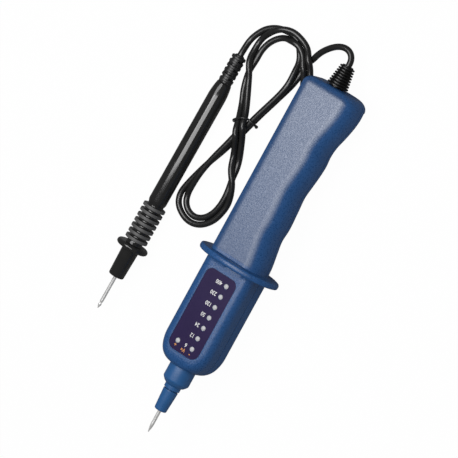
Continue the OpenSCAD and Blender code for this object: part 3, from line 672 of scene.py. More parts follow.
@dataclass
class HandUnit:
    """Two blue shells with a head, a guard and a handle shaped for the fingers."""

    head_len: float = 64.7
    head_half_w: float = 16.3
    half_h: float = 12.0
    edge_r: float = 5.5
    nose_sweep: float = 15.2
    face_sweep: float = 6.0
    stub_r: float = 7.8
    handle_len: float = 112.2
    handle_left: float = 16.7
    handle_right: float = 17.2
    handle_edge: float = 6.0
    round_w: float = 10.0
    round_h: float = 11.4
    heel: float = 20.5
    tail_r: float = 5.0
    guard_w: float = 51.4
    guard_h: float = 38.0
    guard_t: float = 3.6
    wall: float = 2.2
    nose_wall: float = 4.2
    nose_hole: float = 6.0
    tail_wall: float = 4.4
    tail_hole: float = 4.1
    seam: float = 0.4
    seam_h: float = 0.35
    recess_gap: float = 0.15
    recess_depth: float = 0.5
    boss_r: float = 4.3
    well_r: float = 2.9
    screw_x: float = -7.5

    def sweep(self, d: Points, full: float, run: float) -> Points:
        """Reach at distance d from the guard: stub + (full - stub) sqrt(1 - t^2), t rising to 1 over the last `run`."""
        t = np.clip((d - self.head_len + run) / run, 0, 1)
        return self.stub_r + (full - self.stub_r) * np.sqrt(1 - t**2)

    def head_rows(self) -> Points:
        """Sections of the head, from its nose to the guard: y, left, right, half height, left edge radius,
        width and height of the right rounding."""
        a = np.radians(np.linspace(90, 0, 40))
        nose = self.head_len - self.nose_sweep * (1 - np.sin(a))
        d = np.concatenate([nose, np.linspace(self.head_len - self.nose_sweep, self.guard_t + 0.5, 26)[1:]])
        w, h = self.sweep(d, self.head_half_w, self.nose_sweep), self.sweep(d, self.half_h, self.face_sweep)
        t = np.clip((d - self.head_len + self.nose_sweep) / self.nose_sweep, 0, 1)
        e = self.edge_r + (self.stub_r - 0.1 - self.edge_r) * t**2
        return np.column_stack([-d, w, w, h, e, e, e])

    def handle_row(self) -> Points:
        """The handle's section at the guard."""
        size = (self.handle_left, self.handle_right, self.half_h, self.handle_edge, self.round_w, self.round_h)
        return np.array([0, *size])

    def handle_rows(self) -> Points:
        """Sections of the handle: its right side is the smooth curve through the grip's points, and the last few
        millimetres turn in by tail_r (1 - cos a) at y = length - tail_r (1 - sin a)."""
        grip = [
            (-8, self.handle_right), (0, self.handle_right), (8, 16.7), (16, 15.4), (23, 14.4), (31, 14.9), (41, 14.4),
            (50, 13.8), (57, 14.6), (64, 15.5), (71, 16), (77, 15.6), (83.2, 16.3), (90.2, 18.25), (98.2, 20),
            (105.2, self.heel), (114.2, 19.3),
        ]  # fmt: skip
        side = smooth_through(grip, 6)
        side = side[(side[:, 0] > self.guard_t) & (side[:, 0] < self.handle_len - self.tail_r - 0.5)]
        straight = np.tile(self.handle_row(), (len(side), 1))
        straight[:, [0, 2]] = side
        a = np.radians(np.linspace(0, 90, 14))
        into, y = self.tail_r * (1 - np.cos(a)), self.handle_len - self.tail_r * (1 - np.sin(a))
        tail = np.column_stack([
            y, self.handle_left - 1.2 * into, self.heel - 1.3 * into, self.half_h - into, self.handle_edge - 0.2 * into,
            self.round_w - 0.6 * into, 11 * (1 - into / self.half_h),
        ])  # fmt: skip
        return np.vstack([straight, tail])

    @staticmethod
    def shares() -> Points:
        """Places round half a section, from 0 at the left parting line to 1 at the right one."""
        side = np.array([0, 0.02, 0.046, 0.1, 0.35, 0.65])
        edge, face, rounding = np.linspace(1, 7, 17), np.linspace(7, 8, 13)[1:], np.linspace(8, 16, 29)[1:]
        return np.concatenate([side, edge, face, rounding, (17 - side)[::-1]]) / 17

    def half_section(self, rows: Points, share: Points) -> Points:
        """Points of half sections: up the left side, round its edge by a quarter circle, over the flat face,
        down an elliptic rounding and the right side.

        Args:
            rows: (n, 7) sections.
            share: (m,) places round them.

        Returns:
            Points (n, m, 3).
        """
        y, left, right, half, e, w, h = [rows[:, k][:, None] for k in range(7)]
        q = 17 * share[None, :]
        a, b = np.radians(90 * np.clip((q - 1) / 6, 0, 1)), np.radians(90 - 90 * np.clip((q - 8) / 8, 0, 1))
        x = np.select(
            [q <= 7, q <= 8],
            [-left + e * (1 - np.cos(a)), (-left + e) + (right - w + left - e) * (q - 7)],
            right - w * (1 - np.cos(b)),
        )
        z = np.select(
            [q <= 1, q <= 7, q <= 8, q <= 16],
            [(half - e) * q, half - e * (1 - np.sin(a)), half + 0 * q, half - h * (1 - np.sin(b))],
            (half - h) * (17 - q),
        )
        return np.stack([x, y + 0 * q, z], axis=-1)

    def guard_rows(self, section: Points, sign: float, share: Points) -> Points:
        """Half of the guard: the body's section at y = 0, mixed by a share s with the ellipse
        (guard_w/2 cos a, guard_h/2 sin a), where s rises from 0 to 1 along the rim's profile.

        Args:
            section: (7,) the body's section.
            sign: -1 for the head's side and 1 for the handle's.
            share: (m,) places round it.

        Returns:
            Points (n, m, 3).
        """
        rim = [
            (0.62, 0), (0.535, 0.05), (0.49, 0.35), (0.47, 0.80), (0.415, 0.92), (0.30, 0.972), (0.16, 0.995), (0, 1),
        ]  # fmt: skip
        p = smooth_through(rim, 5, 0.35)
        p[:, 1] = np.clip(p[:, 1], 0, 1)
        body = self.half_section(np.repeat(section[None, :], len(p), axis=0), share)
        a = math.pi * (1 - share)
        ring = np.stack([self.guard_w / 2 * np.cos(a), 0 * a, self.guard_h / 2 * np.sin(a)], axis=-1)[None]
        mix = body + p[:, 1][:, None, None] * (ring - body)
        mix[..., 1] = sign * p[:, 0][:, None] * self.guard_t
        return mix

    def half_shell(self) -> tuple[Points, Points]:
        """Outside and inside of the front half, as two grids with the same rows.

        Returns:
            The outside and the inside, each (n, m, 3).
        """
        share = self.shares()
        head, handle = self.head_rows(), self.handle_rows()
        by_head, by_handle = head[-1], self.handle_row()
        outer = np.concatenate([
            self.half_section(head, share),
            self.guard_rows(by_head, -1, share),
            self.guard_rows(by_handle, 1, share)[::-1][1:],
            self.half_section(handle, share),
        ])  # fmt: skip
        n_guard = len(outer) - len(head) - len(handle)
        middle = np.linspace(0, 1, n_guard)[:, None]
        plain = np.vstack([head, by_head * (1 - middle) + by_handle * middle, handle])
        plain[:, 0] = outer[:, 0, 1]
        inset = plain - self.wall * np.array([0, 1, 1, 1, 0.9, 1, 1])
        inset[:, 4:] = np.maximum(inset[:, 4:], 0.6)
        inner = self.half_section(inset, share)
        a = math.pi * (1 - share)
        disc = np.stack([np.cos(a), 0 * a, np.sin(a)], axis=-1)
        y = outer[:, 0, 1]
        nose, tail = y < -self.head_len + self.nose_wall, y > self.handle_len - self.tail_wall
        for ends, hole in ((nose, self.nose_hole), (tail, self.tail_hole)):
            inner[ends] = hole * disc[None] + np.array([0, 1, 0]) * y[ends][:, None, None]
        groove = self.seam * np.clip(1 - outer[..., 2] / self.seam_h, 0, 1)
        outer[..., 0] -= np.sign(outer[..., 0]) * groove
        return outer, inner

    def shell(self, name: str, up: float) -> Piece:
        """Closed half shell: outside, inside, both parting faces and both ends.

        Args:
            name: its name.
            up: 1 for the front half and -1 for the back half.

        Returns:
            The object.
        """
        outer, inner = self.half_shell()
        n, m = outer.shape[:2]
        grid = np.concatenate([outer, inner]) * np.array([1, 1, up])
        faces = [quads(n, m), quads(n, m, start=n * m)]
        number = np.arange(2 * n * m).reshape(2, n, m)
        for rim in (number[:, :, 0], number[:, :, -1], number[:, 0], number[:, -1]):
            faces.append(np.stack([rim[0, :-1], rim[0, 1:], rim[1, 1:], rim[1, :-1]], axis=-1))
        return solid(name, UNIT.put(grid), faces)

    def build(self, label: "Display") -> None:
        """Builds both shells, cuts the film's recess and the screw wells, and dresses them."""
        front, back = self.shell("front_shell_skin", 1), self.shell("back_shell_skin", -1)
        recess, top = label.outline(self.recess_gap), self.half_h
        carve(front, prism("recess_cutter", recess, top - self.recess_depth, top + 3), "DIFFERENCE")
        for r, low, high, how in ((self.boss_r, 0.6 - top, -4.5, "UNION"), (self.well_r, -top - 2, -6.0, "DIFFERENCE")):
            circle = spun(np.array([[r, 0]]), 48)[0, :, [0, 2]].T
            for y in (-self.head_len / 2, 50.0, self.handle_len - 14):
                carve(back, prism("well", circle + [self.screw_x, y], low, high), how)
        for obj, node in ((front, "front_shell"), (back, "back_shell")):
            soften(obj.data, 32)
            finish_piece(obj, Finish.SHELL, node)


# --- Display ----------------------------------------------------------------


@dataclass
class Display:
    """Film with its lights, numbers and signs."""

    width: float = 20.6
    near: float = 7.0
    length: float = 50.0
    near_r: float = 4.0
    far_r: float = 5.0
    top: float = 11.85
    pitch: float = 6.6
    first: float = 12.0
    ink: float = 0.012
    narrow: float = 0.84
    figure: float = 0.70

    def outline(self, grow: float) -> Points:
        """Rectangle with corners of near_r at the guard and far_r at the nose, as one ring of quarter circles."""
        w, y1, y2 = self.width / 2 + grow, -self.near + grow, -self.near - self.length - grow
        r1, r2 = self.near_r + grow, self.far_r + grow
        corners = [(w - r1, y1 - r1, r1), (r1 - w, y1 - r1, r1), (r2 - w, y2 + r2, r2), (w - r2, y2 + r2, r2)]
        cx, cy, r = [np.array(c)[:, None] for c in zip(*corners)]
        a = np.radians(90 * np.arange(4)[:, None] + np.linspace(0, 90, 12)[None, :])
        return np.stack([cx + r * np.cos(a), cy + r * np.sin(a)], axis=-1).reshape(-1, 2)

    def words(self, name: str, items: Sequence[Word], finish: Finish, lead: bool = False) -> None:
        """Printed words, which read upright with the tip up.

        Args:
            name: the piece's name.
            items: (word, x, middle y, height of a figure) of each.
            finish: the ink.
            lead: whether x is a word's first edge, and not its middle.
        """
        parts: list[tuple[Points, list[list[int]]]] = []
        for word, x, y, tall in items:
            curve = bpy.data.curves.new("word", "FONT")
            curve.body, curve.resolution_u, curve.offset, curve.extrude = word, 4, 0.018, 0.01
            holder = add("word", curve)
            mesh = baked(holder)
            bpy.data.objects.remove(holder)
            flat = np.zeros(len(mesh.vertices) * 3)
            mesh.vertices.foreach_get("co", flat)
            p = flat.reshape(-1, 3)
            p -= (p.max(0) + p.min(0)) / 2
            p = np.column_stack([p[:, :2] * [self.narrow, 1.0] * (tall / self.figure), self.ink * np.sign(p[:, 2])])
            start = x + p[:, 0].min() if lead else x
            own = np.column_stack([start - p[:, 0], y - p[:, 1], self.top + self.ink + p[:, 2]])
            parts.append((own, [list(f.vertices) for f in mesh.polygons]))
            bpy.data.meshes.remove(mesh)
        starts = np.cumsum([0] + [len(p) for p, _ in parts])
        mesh = bpy.data.meshes.new(name)
        faces = [[int(v + s) for v in f] for (_, part), s in zip(parts, starts) for f in part]
        mesh.from_pydata(UNIT.put(np.vstack([p for p, _ in parts])).tolist(), [], faces)
        mesh.update()
        finish_piece(add(name, mesh), finish)

    def build(self, nodes: dict[str, Piece]) -> None:
        """Dresses the film and the lights, and prints the numbers and the signs."""
        Finish.FILM.dress(nodes["display_label"])
        for name in ("400v", "230v", "120v", "50v", "24v", "12v", "minus", "plus"):
            Finish.LED.dress(nodes["led_" + name])
        volts = [("400", 1.7), ("230", 1.7), ("120", 1.7), ("50", 1.7), ("24", 1.7), ("12", 1.7), ("6", 0.9)]
        numbers = [(word, x, -self.first - self.pitch * k, 2.25) for k, (word, x) in enumerate(volts)]
        self.words("scale_numbers", numbers, Finish.WHITE_INK, True)
        signs = [("+", -5.6, -54.2, 2.3), ("V=", 0.1, -54.6, 2.1), ("-", 4.9, -54.9, 2.6)]
        self.words("scale_signs", signs, Finish.ORANGE_INK)


# --- Tips and boots ---------------------------------------------------------


@dataclass
class Needle:
    """Steel needle with a thicker shank and a ground point, which a `waist` makes a spear head."""

    r: float = 1.0
    shank_r: float = 1.25
    point: float = 4.5
    waist: float = 0.0

    def build(self, name: str, node: str, rest: Rest, start: float, step: float, tip: float) -> None:
        """Turns the needle. Its places are counted towards the tip, so they lie at y = -place.

        Args:
            name: the piece's name.
            node: the CAD node that it replaces.
            rest: where its unit lies.
            start: place of its inner end.
            step: place where the shank narrows to the needle.
            tip: place of its point.
        """
        cut = -tip + self.point
        ground = [(self.r, cut, 1.2), (0.55 * self.r, -tip + 0.4 * self.point, 1.0)]
        if self.waist:
            ground = [(self.r, cut, 0.4), (self.waist, cut - 1.0, 0.4), (self.r, cut - 2.0, 0.25)]
        outline = [(0, -start, 0), (self.shank_r, -start, 0.2), (self.shank_r, -step, 0.1), (self.r, -step, 0.02)]
        outline += ground + [(0.16, -tip + 0.1, 0.1), (0, -tip, 0)]
        finish_piece(turned(name, rounded(outline, 5, False), rest, False, 48), Finish.STEEL, node)


@dataclass
class Nose:
    """Blue cone and sleeve that hold the needle in the head."""

    bore: float = 1.27
    collar_r: float = 7.1
    collar_start: float = 59.0
    collar_end: float = 60.5
    spigot: float = 5.9
    seat: float = 64.7
    stub_r: float = 7.8
    stub_end: float = 73.3
    neck_start: float = 76.1
    neck_end: float = 78.6
    neck_r: float = 4.7
    sleeve_start: float = 79.3
    sleeve_end: float = 92.2
    sleeve_r1: float = 4.4
    sleeve_r2: float = 3.6
    tip: float = 106.1

    def build(self) -> None:
        """Turns the cone, the sleeve and the needle."""
        cone = [
            (self.bore, self.collar_start, 0.1), (self.collar_r, self.collar_start, 0.1),
            (self.collar_r, self.collar_end, 0.1), (self.spigot, self.collar_end, 0.1),
            (self.spigot, self.seat, 0.05), (self.stub_r, self.seat, 0.1), (self.stub_r, self.stub_end, 0.9),
            (self.stub_r - 0.55, self.stub_end + 0.9, 0.5), (self.neck_r + 1.1, self.neck_start - 0.35, 0.5),
            (self.neck_r + 0.25, self.neck_start, 0.25), (self.neck_r, self.neck_start + 0.4, 0.15),
            (self.neck_r, self.neck_end, 0.25), (self.sleeve_r2 - 0.4, self.neck_end, 0.05),
            (self.sleeve_r2 - 0.4, self.sleeve_start, 0.05), (self.bore, self.sleeve_start, 0.05),
        ]  # fmt: skip
        sleeve = [
            (self.bore, self.sleeve_start, 0.05), (self.sleeve_r1, self.sleeve_start, 0.35),
            (self.sleeve_r1 - 0.1, self.sleeve_start + 1.6, 0.5), (self.sleeve_r2, self.sleeve_end, 1.2),
            (self.bore, self.sleeve_end, 0.05),
        ]  # fmt: skip
        for name, node, outline in (("nose_cone_skin", "nose_cone", cone), ("sleeve_skin", "tip_sleeve", sleeve)):
            towards_tip = [(r, -y, cut) for r, y, cut in outline]
            finish_piece(turned(name, rounded(towards_tip, 5, True), UNIT, True, 128), Finish.NOSE, node)
        Needle().build("tip_needle_skin", "tip_needle", UNIT, 57.0, self.sleeve_end, self.tip)


@dataclass
class RibbedBoot:
    """Rubber boot with rings that shrink towards the cable."""

    start: float = 112.2
    length: float = 13.3
    ribs: int = 8
    r1: float = 6.3
    r2: float = 4.4
    gap: float = 0.9
    depth: float = 1.15
    wall: float = 4.4
    neck: float = 4.0
    bore: float = 1.82

    def build(self) -> None:
        """Turns the boot: a neck through the wall, then thin ribs of half their pitch."""
        pitch = (self.length - self.gap) / self.ribs
        thick, wall, end = 0.52 * pitch, self.start - self.wall, self.start + self.length
        outline = [
            (self.bore, wall - 2, 0.1), (self.neck + 1.8, wall - 2, 0.2), (self.neck + 1.8, wall, 0.2),
            (self.neck, wall, 0.1), (self.neck, self.start, 0.05), (self.neck + 0.6, self.start, 0.1),
            (self.neck + 0.6, self.start + self.gap, 0.2),
        ]  # fmt: skip
        for k in range(self.ribs):
            y, r = self.start + self.gap + k * pitch, self.r1 + (self.r2 - self.r1) * k / (self.ribs - 1)
            root = r - self.depth
            outline += [(root, y, 0.15), (r, y, 0.22), (r, y + thick, 0.22), (root, y + thick, 0.15)]
        outline[-1] = (root, end - 0.48 * pitch, 0.2)
        outline += [(root, end, 0.2), (self.bore, end, 0.1)]
        finish_piece(turned("cable_boot_skin", rounded(outline, 5, True), UNIT, True, 96), Finish.BOOT, "strain_relief")


@dataclass
class ProbeHandle:
    """Black handle of the second probe: nose, disc, ringed grip and barrel with a flat panel."""

    nose: float = 19.3
    nose_r1: float = 5.05
    nose_r2: float = 4.55
    disc_r: float = 9.45
    disc_t: float = 3.4
    ring_r: float = 6.75
    rings: int = 7
    pitch: float = 3.37
    ring_t: float = 1.75
    core_r: float = 4.65
    barrel_r: float = 5.3
    barrel_end: float = 98.0
    shoulder: float = 7.6
    link_r: float = 4.2
    bore: float = 1.27
    bore_end: float = 24.0
    cable_bore: float = 1.82
    socket_r: float = 3.22
    socket_depth: float = 6.0
    needle_end: float = 30.0
    needle_reach: float = 20.9
    panel_near: float = 56.0
    panel_far: float = 89.0
    panel_depth: float = 0.3
    panel_turn: float = -18.0

    def outline(self) -> list[Corner]:
        """Corners of the profile (radius, y, rounding), round the bore."""
        y0 = self.disc_t / 2
        profile = [
            (self.bore, -self.nose, 0.1), (self.nose_r2, -self.nose, 1.1), (self.nose_r1, -y0 + 0.2, 0.35),
            (self.disc_r - 1.0, -y0 + 0.1, 0.5), (self.disc_r, -0.7, 0.7), (self.disc_r, 0.7, 0.7),
            (self.disc_r - 1.0, y0 - 0.1, 0.5), (self.nose_r1, y0 - 0.2, 0.35), (self.core_r, y0 + 1.6, 0.5),
        ]  # fmt: skip
        first = y0 + 3.2
        for k in range(self.rings):
            y, h = first + k * self.pitch, self.ring_t / 2
            profile += [(self.core_r, y - h - 0.1, 0.3), (self.ring_r, y - h, 0.22)]
            profile += [(self.ring_r, y + h, 0.22), (self.core_r, y + h + 0.1, 0.3)]
        last = first + (self.rings - 1) * self.pitch + self.ring_t / 2
        link = self.barrel_end + self.shoulder
        socket = link - self.socket_depth
        return profile + [
            (self.core_r, last + 1.2, 0.5), (self.barrel_r, last + 2.9, 1.0), (self.barrel_r, self.panel_near - 0.1, 0),
            (self.barrel_r, self.panel_near, 0), (self.barrel_r, self.panel_near + 0.12, 0),
            (self.barrel_r, self.panel_far - 0.12, 0), (self.barrel_r, self.panel_far, 0),
            (self.barrel_r, self.panel_far + 0.1, 0), (self.barrel_r, self.barrel_end, 3.0),
            (self.barrel_r - 0.5, self.barrel_end + 0.6 * self.shoulder, 2.0), (self.link_r, link, 0.3),
            (self.socket_r, link, 0.1), (self.socket_r, socket, 0.1), (self.cable_bore, socket, 0.1),
            (self.cable_bore, self.bore_end, 0.1), (self.bore, self.bore_end, 0.1),
        ]  # fmt: skip

    def build(self) -> None:
        """Turns the handle and presses the panel in: between its ends, height towards the panel stops at r - depth."""
        profile = rounded(self.outline(), 5, True)
        sides, turn = 144, math.radians(self.panel_turn)
        up, y, across = np.moveaxis(spun(profile, sides), -1, 0)
        flat = (y > self.panel_near - 0.05) & (y < self.panel_far + 0.05) & (profile[:, :1] > self.core_r)
        up = np.where(flat, np.minimum(up, self.barrel_r - self.panel_depth), up)
        x, z = across * math.cos(turn) + up * math.sin(turn), up * math.cos(turn) - across * math.sin(turn)
        grid = np.stack([x, y, z], axis=-1)
        obj = solid("probe_handle_skin", PROBE.put(grid), [quads(len(profile), sides, True, True)], 26)
        finish_piece(obj, Finish.PROBE, "probe_handle")
        tip = self.nose + self.needle_reach
        Needle(waist=0.6).build("probe_needle_skin", "probe_needle", PROBE, -self.needle_end, self.nose, tip)


@dataclass
class LinkBoot:
    """Boot of short links, bridged in turn at its sides and at its top and bottom."""

    start: float = 105.6
    links: int = 6
    pitch: float = 2.8
    r: float = 4.2
    seat_r: float = 3.2
    core_r: float = 2.75
    bore: float = 1.82

    def link(self, k: int) -> Points:
        """Closed profile of one link's disc."""
        y = self.start + 1.4 + k * self.pitch
        end = y + 0.6 * self.pitch
        return rounded([(self.bore, y, 0.1), (self.r, y, 0.45), (self.r, end, 0.45), (self.bore, end, 0.1)], 4, True)

    def build(self) -> None:
        """Joins a core sleeve, the discs and the bridges between them into one mesh of closed parts."""
        end = self.start + 1.4 + self.links * self.pitch
        sides = 72
        core = [
            (self.bore, self.start - 6, 0.1), (self.seat_r, self.start - 6, 0.1), (self.seat_r, self.start, 0.1),
            (self.core_r, self.start + 0.4, 0.1), (self.core_r, end - 0.5, 0.3), (self.bore, end, 0.1),
        ]  # fmt: skip
        grids, faces, start = [], [], 0
        for ring in [rounded(core, 3, True)] + [self.link(k) for k in range(self.links)]:
            grids.append(spun(ring, sides).reshape(-1, 3))
            faces.append(quads(len(ring), sides, True, True, start))
            start += len(ring) * sides
        for k in range(self.links):
            y = self.start + k * self.pitch
            for side in (0, math.pi):
                b = np.linspace(-0.62, 0.62, 13) + side + k % 2 * math.pi / 2
                r, c = np.repeat([self.r - 0.25, 2.6], 13), np.concatenate([b, b[::-1]])
                arc = np.stack([r * np.cos(c), 0 * c, r * np.sin(c)], axis=-1)
                grids.append(np.concatenate([arc + [0, y - 0.1, 0], arc + [0, y + 1.7, 0]]))
                faces += capped(2, len(arc), start)
                start += 2 * len(arc)
        finish_piece(solid("probe_boot_skin", PROBE.put(np.concatenate(grids)), faces), Finish.LINKS, "probe_boot")


# --- Cable ------------------------------------------------------------------


@dataclass
class Cable:
    """The cable from boot to boot: folded in two, and the pair laid as a figure eight between the two leads."""

    r: float = 1.8
    step: float = 1.5
    rounds: int = 260
    gap: float = 3.62
    pinned: int = 2

    @staticmethod
    def guide() -> Points:
        """Points that the cable is meant to pass, in millimetres, from the hand unit's boot to the probe's.

        The cable is folded in two, its bight under the handle, and the pair is laid as one figure eight, so each
        leg carries two strands: side by side on the floor, or one in the groove on the other. A point without
        a height lies on the floor.
        """
        out = [tuple(UNIT.put(np.array([0, y, 0])) / MM) for y in (125.5, 127.2)]
        away = [tuple(PROBE.put(np.array([0, y, 0])) / MM) for y in (126.0, 123.8)]
        parts = [
            # away from the boot and down beneath the strand that leads to the probe
            out + [
                (25.7, 119.4, 10.6), (23.6, 122.2, 10.4), (19.8, 123.3, 10.1), (15.9, 122.4, 9.6), (12.2, 120.3, 8.8),
                (8.7, 117.3, 7.6), (5.3, 113.7, 6.0), (2.4, 109.4, 4.2), (-0.4, 104.3, 2.7), (-1.6, 99.7, 1.9),
                (-2.1, 95.4), (-3.4, 88.4), (-6.1, 80.7), (-9.0, 73.0), (-12.1, 65.0), (-13.9, 59.9), (-16.1, 53.9),
                (-18.4, 47.7),
            ],
            # round the outside of the lower loop, and over the other strand on its way up
            [
                (-23.0, 35.9), (-26.6, 27.8), (-29.5, 20.2), (-32.3, 11.9), (-34.4, 5.0), (-33.8, -0.4), (-31.0, -4.2),
                (-25.3, -7.6), (-19.9, -8.2), (-14.8, -6.6), (-10.6, -3.0), (-7.6, 1.8), (-6.2, 6.9, 2.2),
                (-5.5, 12.3, 3.3), (-5.8, 17.5, 4.6), (-7.1, 22.5, 5.3), (-9.3, 27.2, 5.0), (-11.6, 31.3, 4.4),
                (-13.5, 35.3, 4.4), (-15.3, 40.6, 5.6), (-16.4, 45.5, 7.4), (-17.9, 50.5, 8.7), (-19.8, 55.0, 8.4),
                (-22.8, 60.1, 5.8),
            ],
            # round the inside of the upper loop and over the lead
            [
                (-26.2, 66.1, 2.9), (-29.2, 73.3), (-30.4, 79.9), (-30.9, 85.9), (-30.8, 90.7), (-29.9, 96.2),
                (-28.1, 101.6), (-24.8, 106.1, 2.0), (-20.5, 109.4, 2.8), (-14.8, 111.0, 4.2), (-9.7, 110.5, 5.5),
                (-5.9, 108.7, 5.9), (-2.9, 105.7, 5.9), (-0.7, 102.3, 5.6),
            ],
            # the bight: along the handle's far side, a turn under the handle and back
            [
                (2.6, 94.5, 4.6), (4.0, 88.5, 2.6), (4.6, 82.0), (4.6, 72.0), (4.4, 62.0), (4.3, 52.0), (4.5, 43.0),
                (5.2, 35.0), (6.5, 27.0), (8.3, 19.0), (10.6, 10.0), (14.3, 2.6), (20.0, -0.6), (25.8, 2.6),
                (28.8, 10.0), (29.0, 19.0), (27.0, 26.6), (22.6, 32.0), (16.5, 35.0), (11.4, 39.0), (8.7, 45.6),
                (8.0, 54.0), (8.0, 65.0), (8.0, 76.0), (7.8, 84.0), (7.0, 90.5, 2.8), (5.0, 96.0, 4.4),
            ],
            # over the top of the upper loop and down across the diagonal
            [
                (1.8, 102.4, 5.0), (0.4, 106.1, 5.5), (-1.8, 108.9, 5.5), (-5.1, 111.4, 5.4), (-9.7, 113.5, 5.3),
                (-14.8, 114.4, 5.4), (-19.9, 114.0, 5.4), (-24.6, 112.2, 5.4), (-28.5, 108.8, 5.3), (-31.9, 104.4, 3.6),
                (-33.8, 99.1, 2.6), (-33.2, 93.5, 4.0), (-31.2, 87.4, 5.3), (-28.8, 81.5, 5.5), (-26.0, 75.2, 5.3),
                (-23.1, 69.5, 5.6), (-19.7, 63.9, 7.2), (-16.6, 58.6, 8.6), (-14.4, 52.5, 8.7), (-13.3, 45.4, 6.2),
                (-12.2, 38.6, 3.8), (-11.0, 31.8, 2.0), (-9.6, 25.6), (-8.4, 19.7),
            ],
            # round the inside of the lower loop, and onto the other strand at its upper left
            [
                (-7.9, 13.4), (-8.6, 8.3), (-10.2, 3.4), (-13.2, -0.8), (-16.6, -3.4), (-20.4, -4.6), (-24.6, -3.8),
                (-28.2, -1.2), (-30.2, 2.4, 2.2), (-30.5, 6.9, 3.5), (-29.8, 12.6, 4.9), (-28.7, 18.5, 5.4),
                (-27.0, 24.8, 5.4), (-24.5, 31.8, 5.4), (-22.4, 37.3, 5.4), (-20.1, 43.2, 5.4),
            ],
            # up the diagonal on the lead, over the top and to the probe
            [
                (-18.0, 48.5, 5.4), (-15.7, 54.6, 5.4), (-13.5, 60.8, 5.4), (-11.6, 65.9, 5.4), (-8.5, 73.8, 5.4),
                (-5.6, 81.5, 5.4), (-3.3, 89.1, 5.3), (-3.1, 95.1, 5.0), (-4.3, 99.1, 4.3), (-6.3, 103.2, 2.8),
                (-8.6, 106.9, 1.9), (-11.0, 109.9), (-15.8, 112.3), (-21.4, 112.8), (-27.5, 111.0), (-33.7, 107.0),
                (-36.8, 102.4), (-39.0, 97.8, 2.1), (-39.1, 94.2, 3.2),
            ] + away,
        ]  # fmt: skip
        return np.array([(*point, Cable.r)[:3] for part in parts for point in part])

    @staticmethod
    def along(line: Points) -> Points:
        """Distance of each point from the first, measured along the line."""
        return np.concatenate([[0], np.cumsum(np.linalg.norm(np.diff(line, axis=0), axis=1))])

    @staticmethod
    def evenly(line: Points, step: float) -> Points:
        """The line with its points about `step` apart."""
        s = Cable.along(line)
        u = np.linspace(0, s[-1], int(round(s[-1] / step)) + 1)
        return np.column_stack([np.interp(u, s, line[:, k]) for k in range(3)])

    def settle(self) -> Points:
        """Lets the guide come to rest as a cable does.

        In each round a point is drawn to its place on the guide, to the line through its neighbours, which stiffens
        the cable, and down; then strands closer than `gap` push each other apart, and the floor holds them up.

        Returns:
            Middle line in millimetres.
        """
        p = self.evenly(smooth_through(self.guide(), 12), self.step)
        home, n, keep = p.copy(), len(p), self.pinned
        # the leads near both boots are held closer to the guide; the reaches are in millimetres
        hold = np.full((n, 1), 0.02)
        hold[: int(160 / self.step)], hold[-int(36 / self.step) :] = 0.06, 0.05
        hold[: int(14 / self.step)] = 0.05
        i = np.arange(n)
        for turn in range(self.rounds):
            if turn % 10 == 0:
                wide = np.linalg.norm(p[:, None] - p[None], axis=2) < 1.9 * self.gap
                near = np.nonzero(wide & (np.abs(i[:, None] - i[None]) * self.step > 2.4 * self.gap))
            move = hold * (home - p) - np.array([0, 0, 0.03])
            move[2:-2] += 0.5 * ((4 * (p[1:-3] + p[3:-1]) - p[:-4] - p[4:]) / 6 - p[2:-2])
            move[1:-1] += 0.12 * (0.5 * (p[:-2] + p[2:]) - p[1:-1])
            p = p + move
            for _ in range(2):
                apart = p[near[0]] - p[near[1]]
                far = np.linalg.norm(apart, axis=1) + 1e-6
                push = np.where(far < self.gap, (self.gap - far) / far, 0)
                count = np.maximum(np.bincount(near[0], push > 0, n), 1)[:, None]
                p = p + 0.9 * np.column_stack([np.bincount(near[0], push * apart[:, k], n) for k in range(3)]) / count
                p[:, 2] = np.maximum(p[:, 2], self.r)
            p[:keep], p[-keep:] = home[:keep], home[-keep:]
        return p

    @staticmethod
    def tube(name: str, line: Points, r: Union[float, Points], sides: int) -> Piece:
        """Tube of radius r round a line in metres, with a UV map of turns across and metres along.

        Each ring stands square to the line: its side is the line's direction x up, and its top completes the frame.

        Args:
            name: the piece's name.
            line: (n, 3) middle line.
            r: radius in metres, one for all or one for each point.
            sides: points of a ring.

        Returns:
            The object.
        """
        t = np.gradient(line, axis=0)
        t /= np.linalg.norm(t, axis=1)[:, None]
        side = np.cross(t, [0, 0, 1.0])
        side /= np.linalg.norm(side, axis=1)[:, None]
        top = np.cross(side, t)
        a = np.linspace(0, 2 * math.pi, sides, endpoint=False)[None, :, None]
        grid = line[:, None] + np.reshape(r, (-1, 1, 1)) * (np.cos(a) * side[:, None] + np.sin(a) * top[:, None])
        obj = solid(name, grid, capped(len(line), sides), 60)
        vertex = np.zeros(len(obj.data.loops), np.int32)
        obj.data.loops.foreach_get("vertex_index", vertex)
        uv = np.column_stack([(vertex % sides) / sides, Cable.along(line)[vertex // sides]])
        obj.data.uv_layers.new(name="along").data.foreach_set("uv", uv.ravel())
        return obj

    def tie(self) -> Piece:
        """Thin twist tie across the strands that cross: r = 0.65 + 0.35 |u|^6 mm, with u from -1 to 1 along it."""
        route = [
            (-24.4, 54.6, 3.4), (-24.0, 55.0, 5.2), (-23.1, 55.7, 7.2), (-22.0, 56.5, 8.6), (-20.8, 57.7, 9.0),
            (-19.4, 58.7, 9.6), (-18.2, 59.3, 10.1), (-17.1, 59.9, 10.1), (-15.9, 60.2, 9.5), (-15.1, 60.3, 8.6),
            (-14.4, 60.1, 7.9), (-13.4, 59.9, 7.8), (-12.5, 59.7, 7.6), (-11.7, 59.4, 6.9), (-11.2, 58.9, 5.6),
            (-10.9, 58.4, 3.9), (-11.0, 57.8, 2.2),
        ]  # fmt: skip
        line = self.evenly(smooth_through(route, 10), 0.5)
        return self.tube("twist_tie", line * MM, MM * (0.65 + 0.35 * np.abs(np.linspace(-1, 1, len(line))) ** 6), 16)

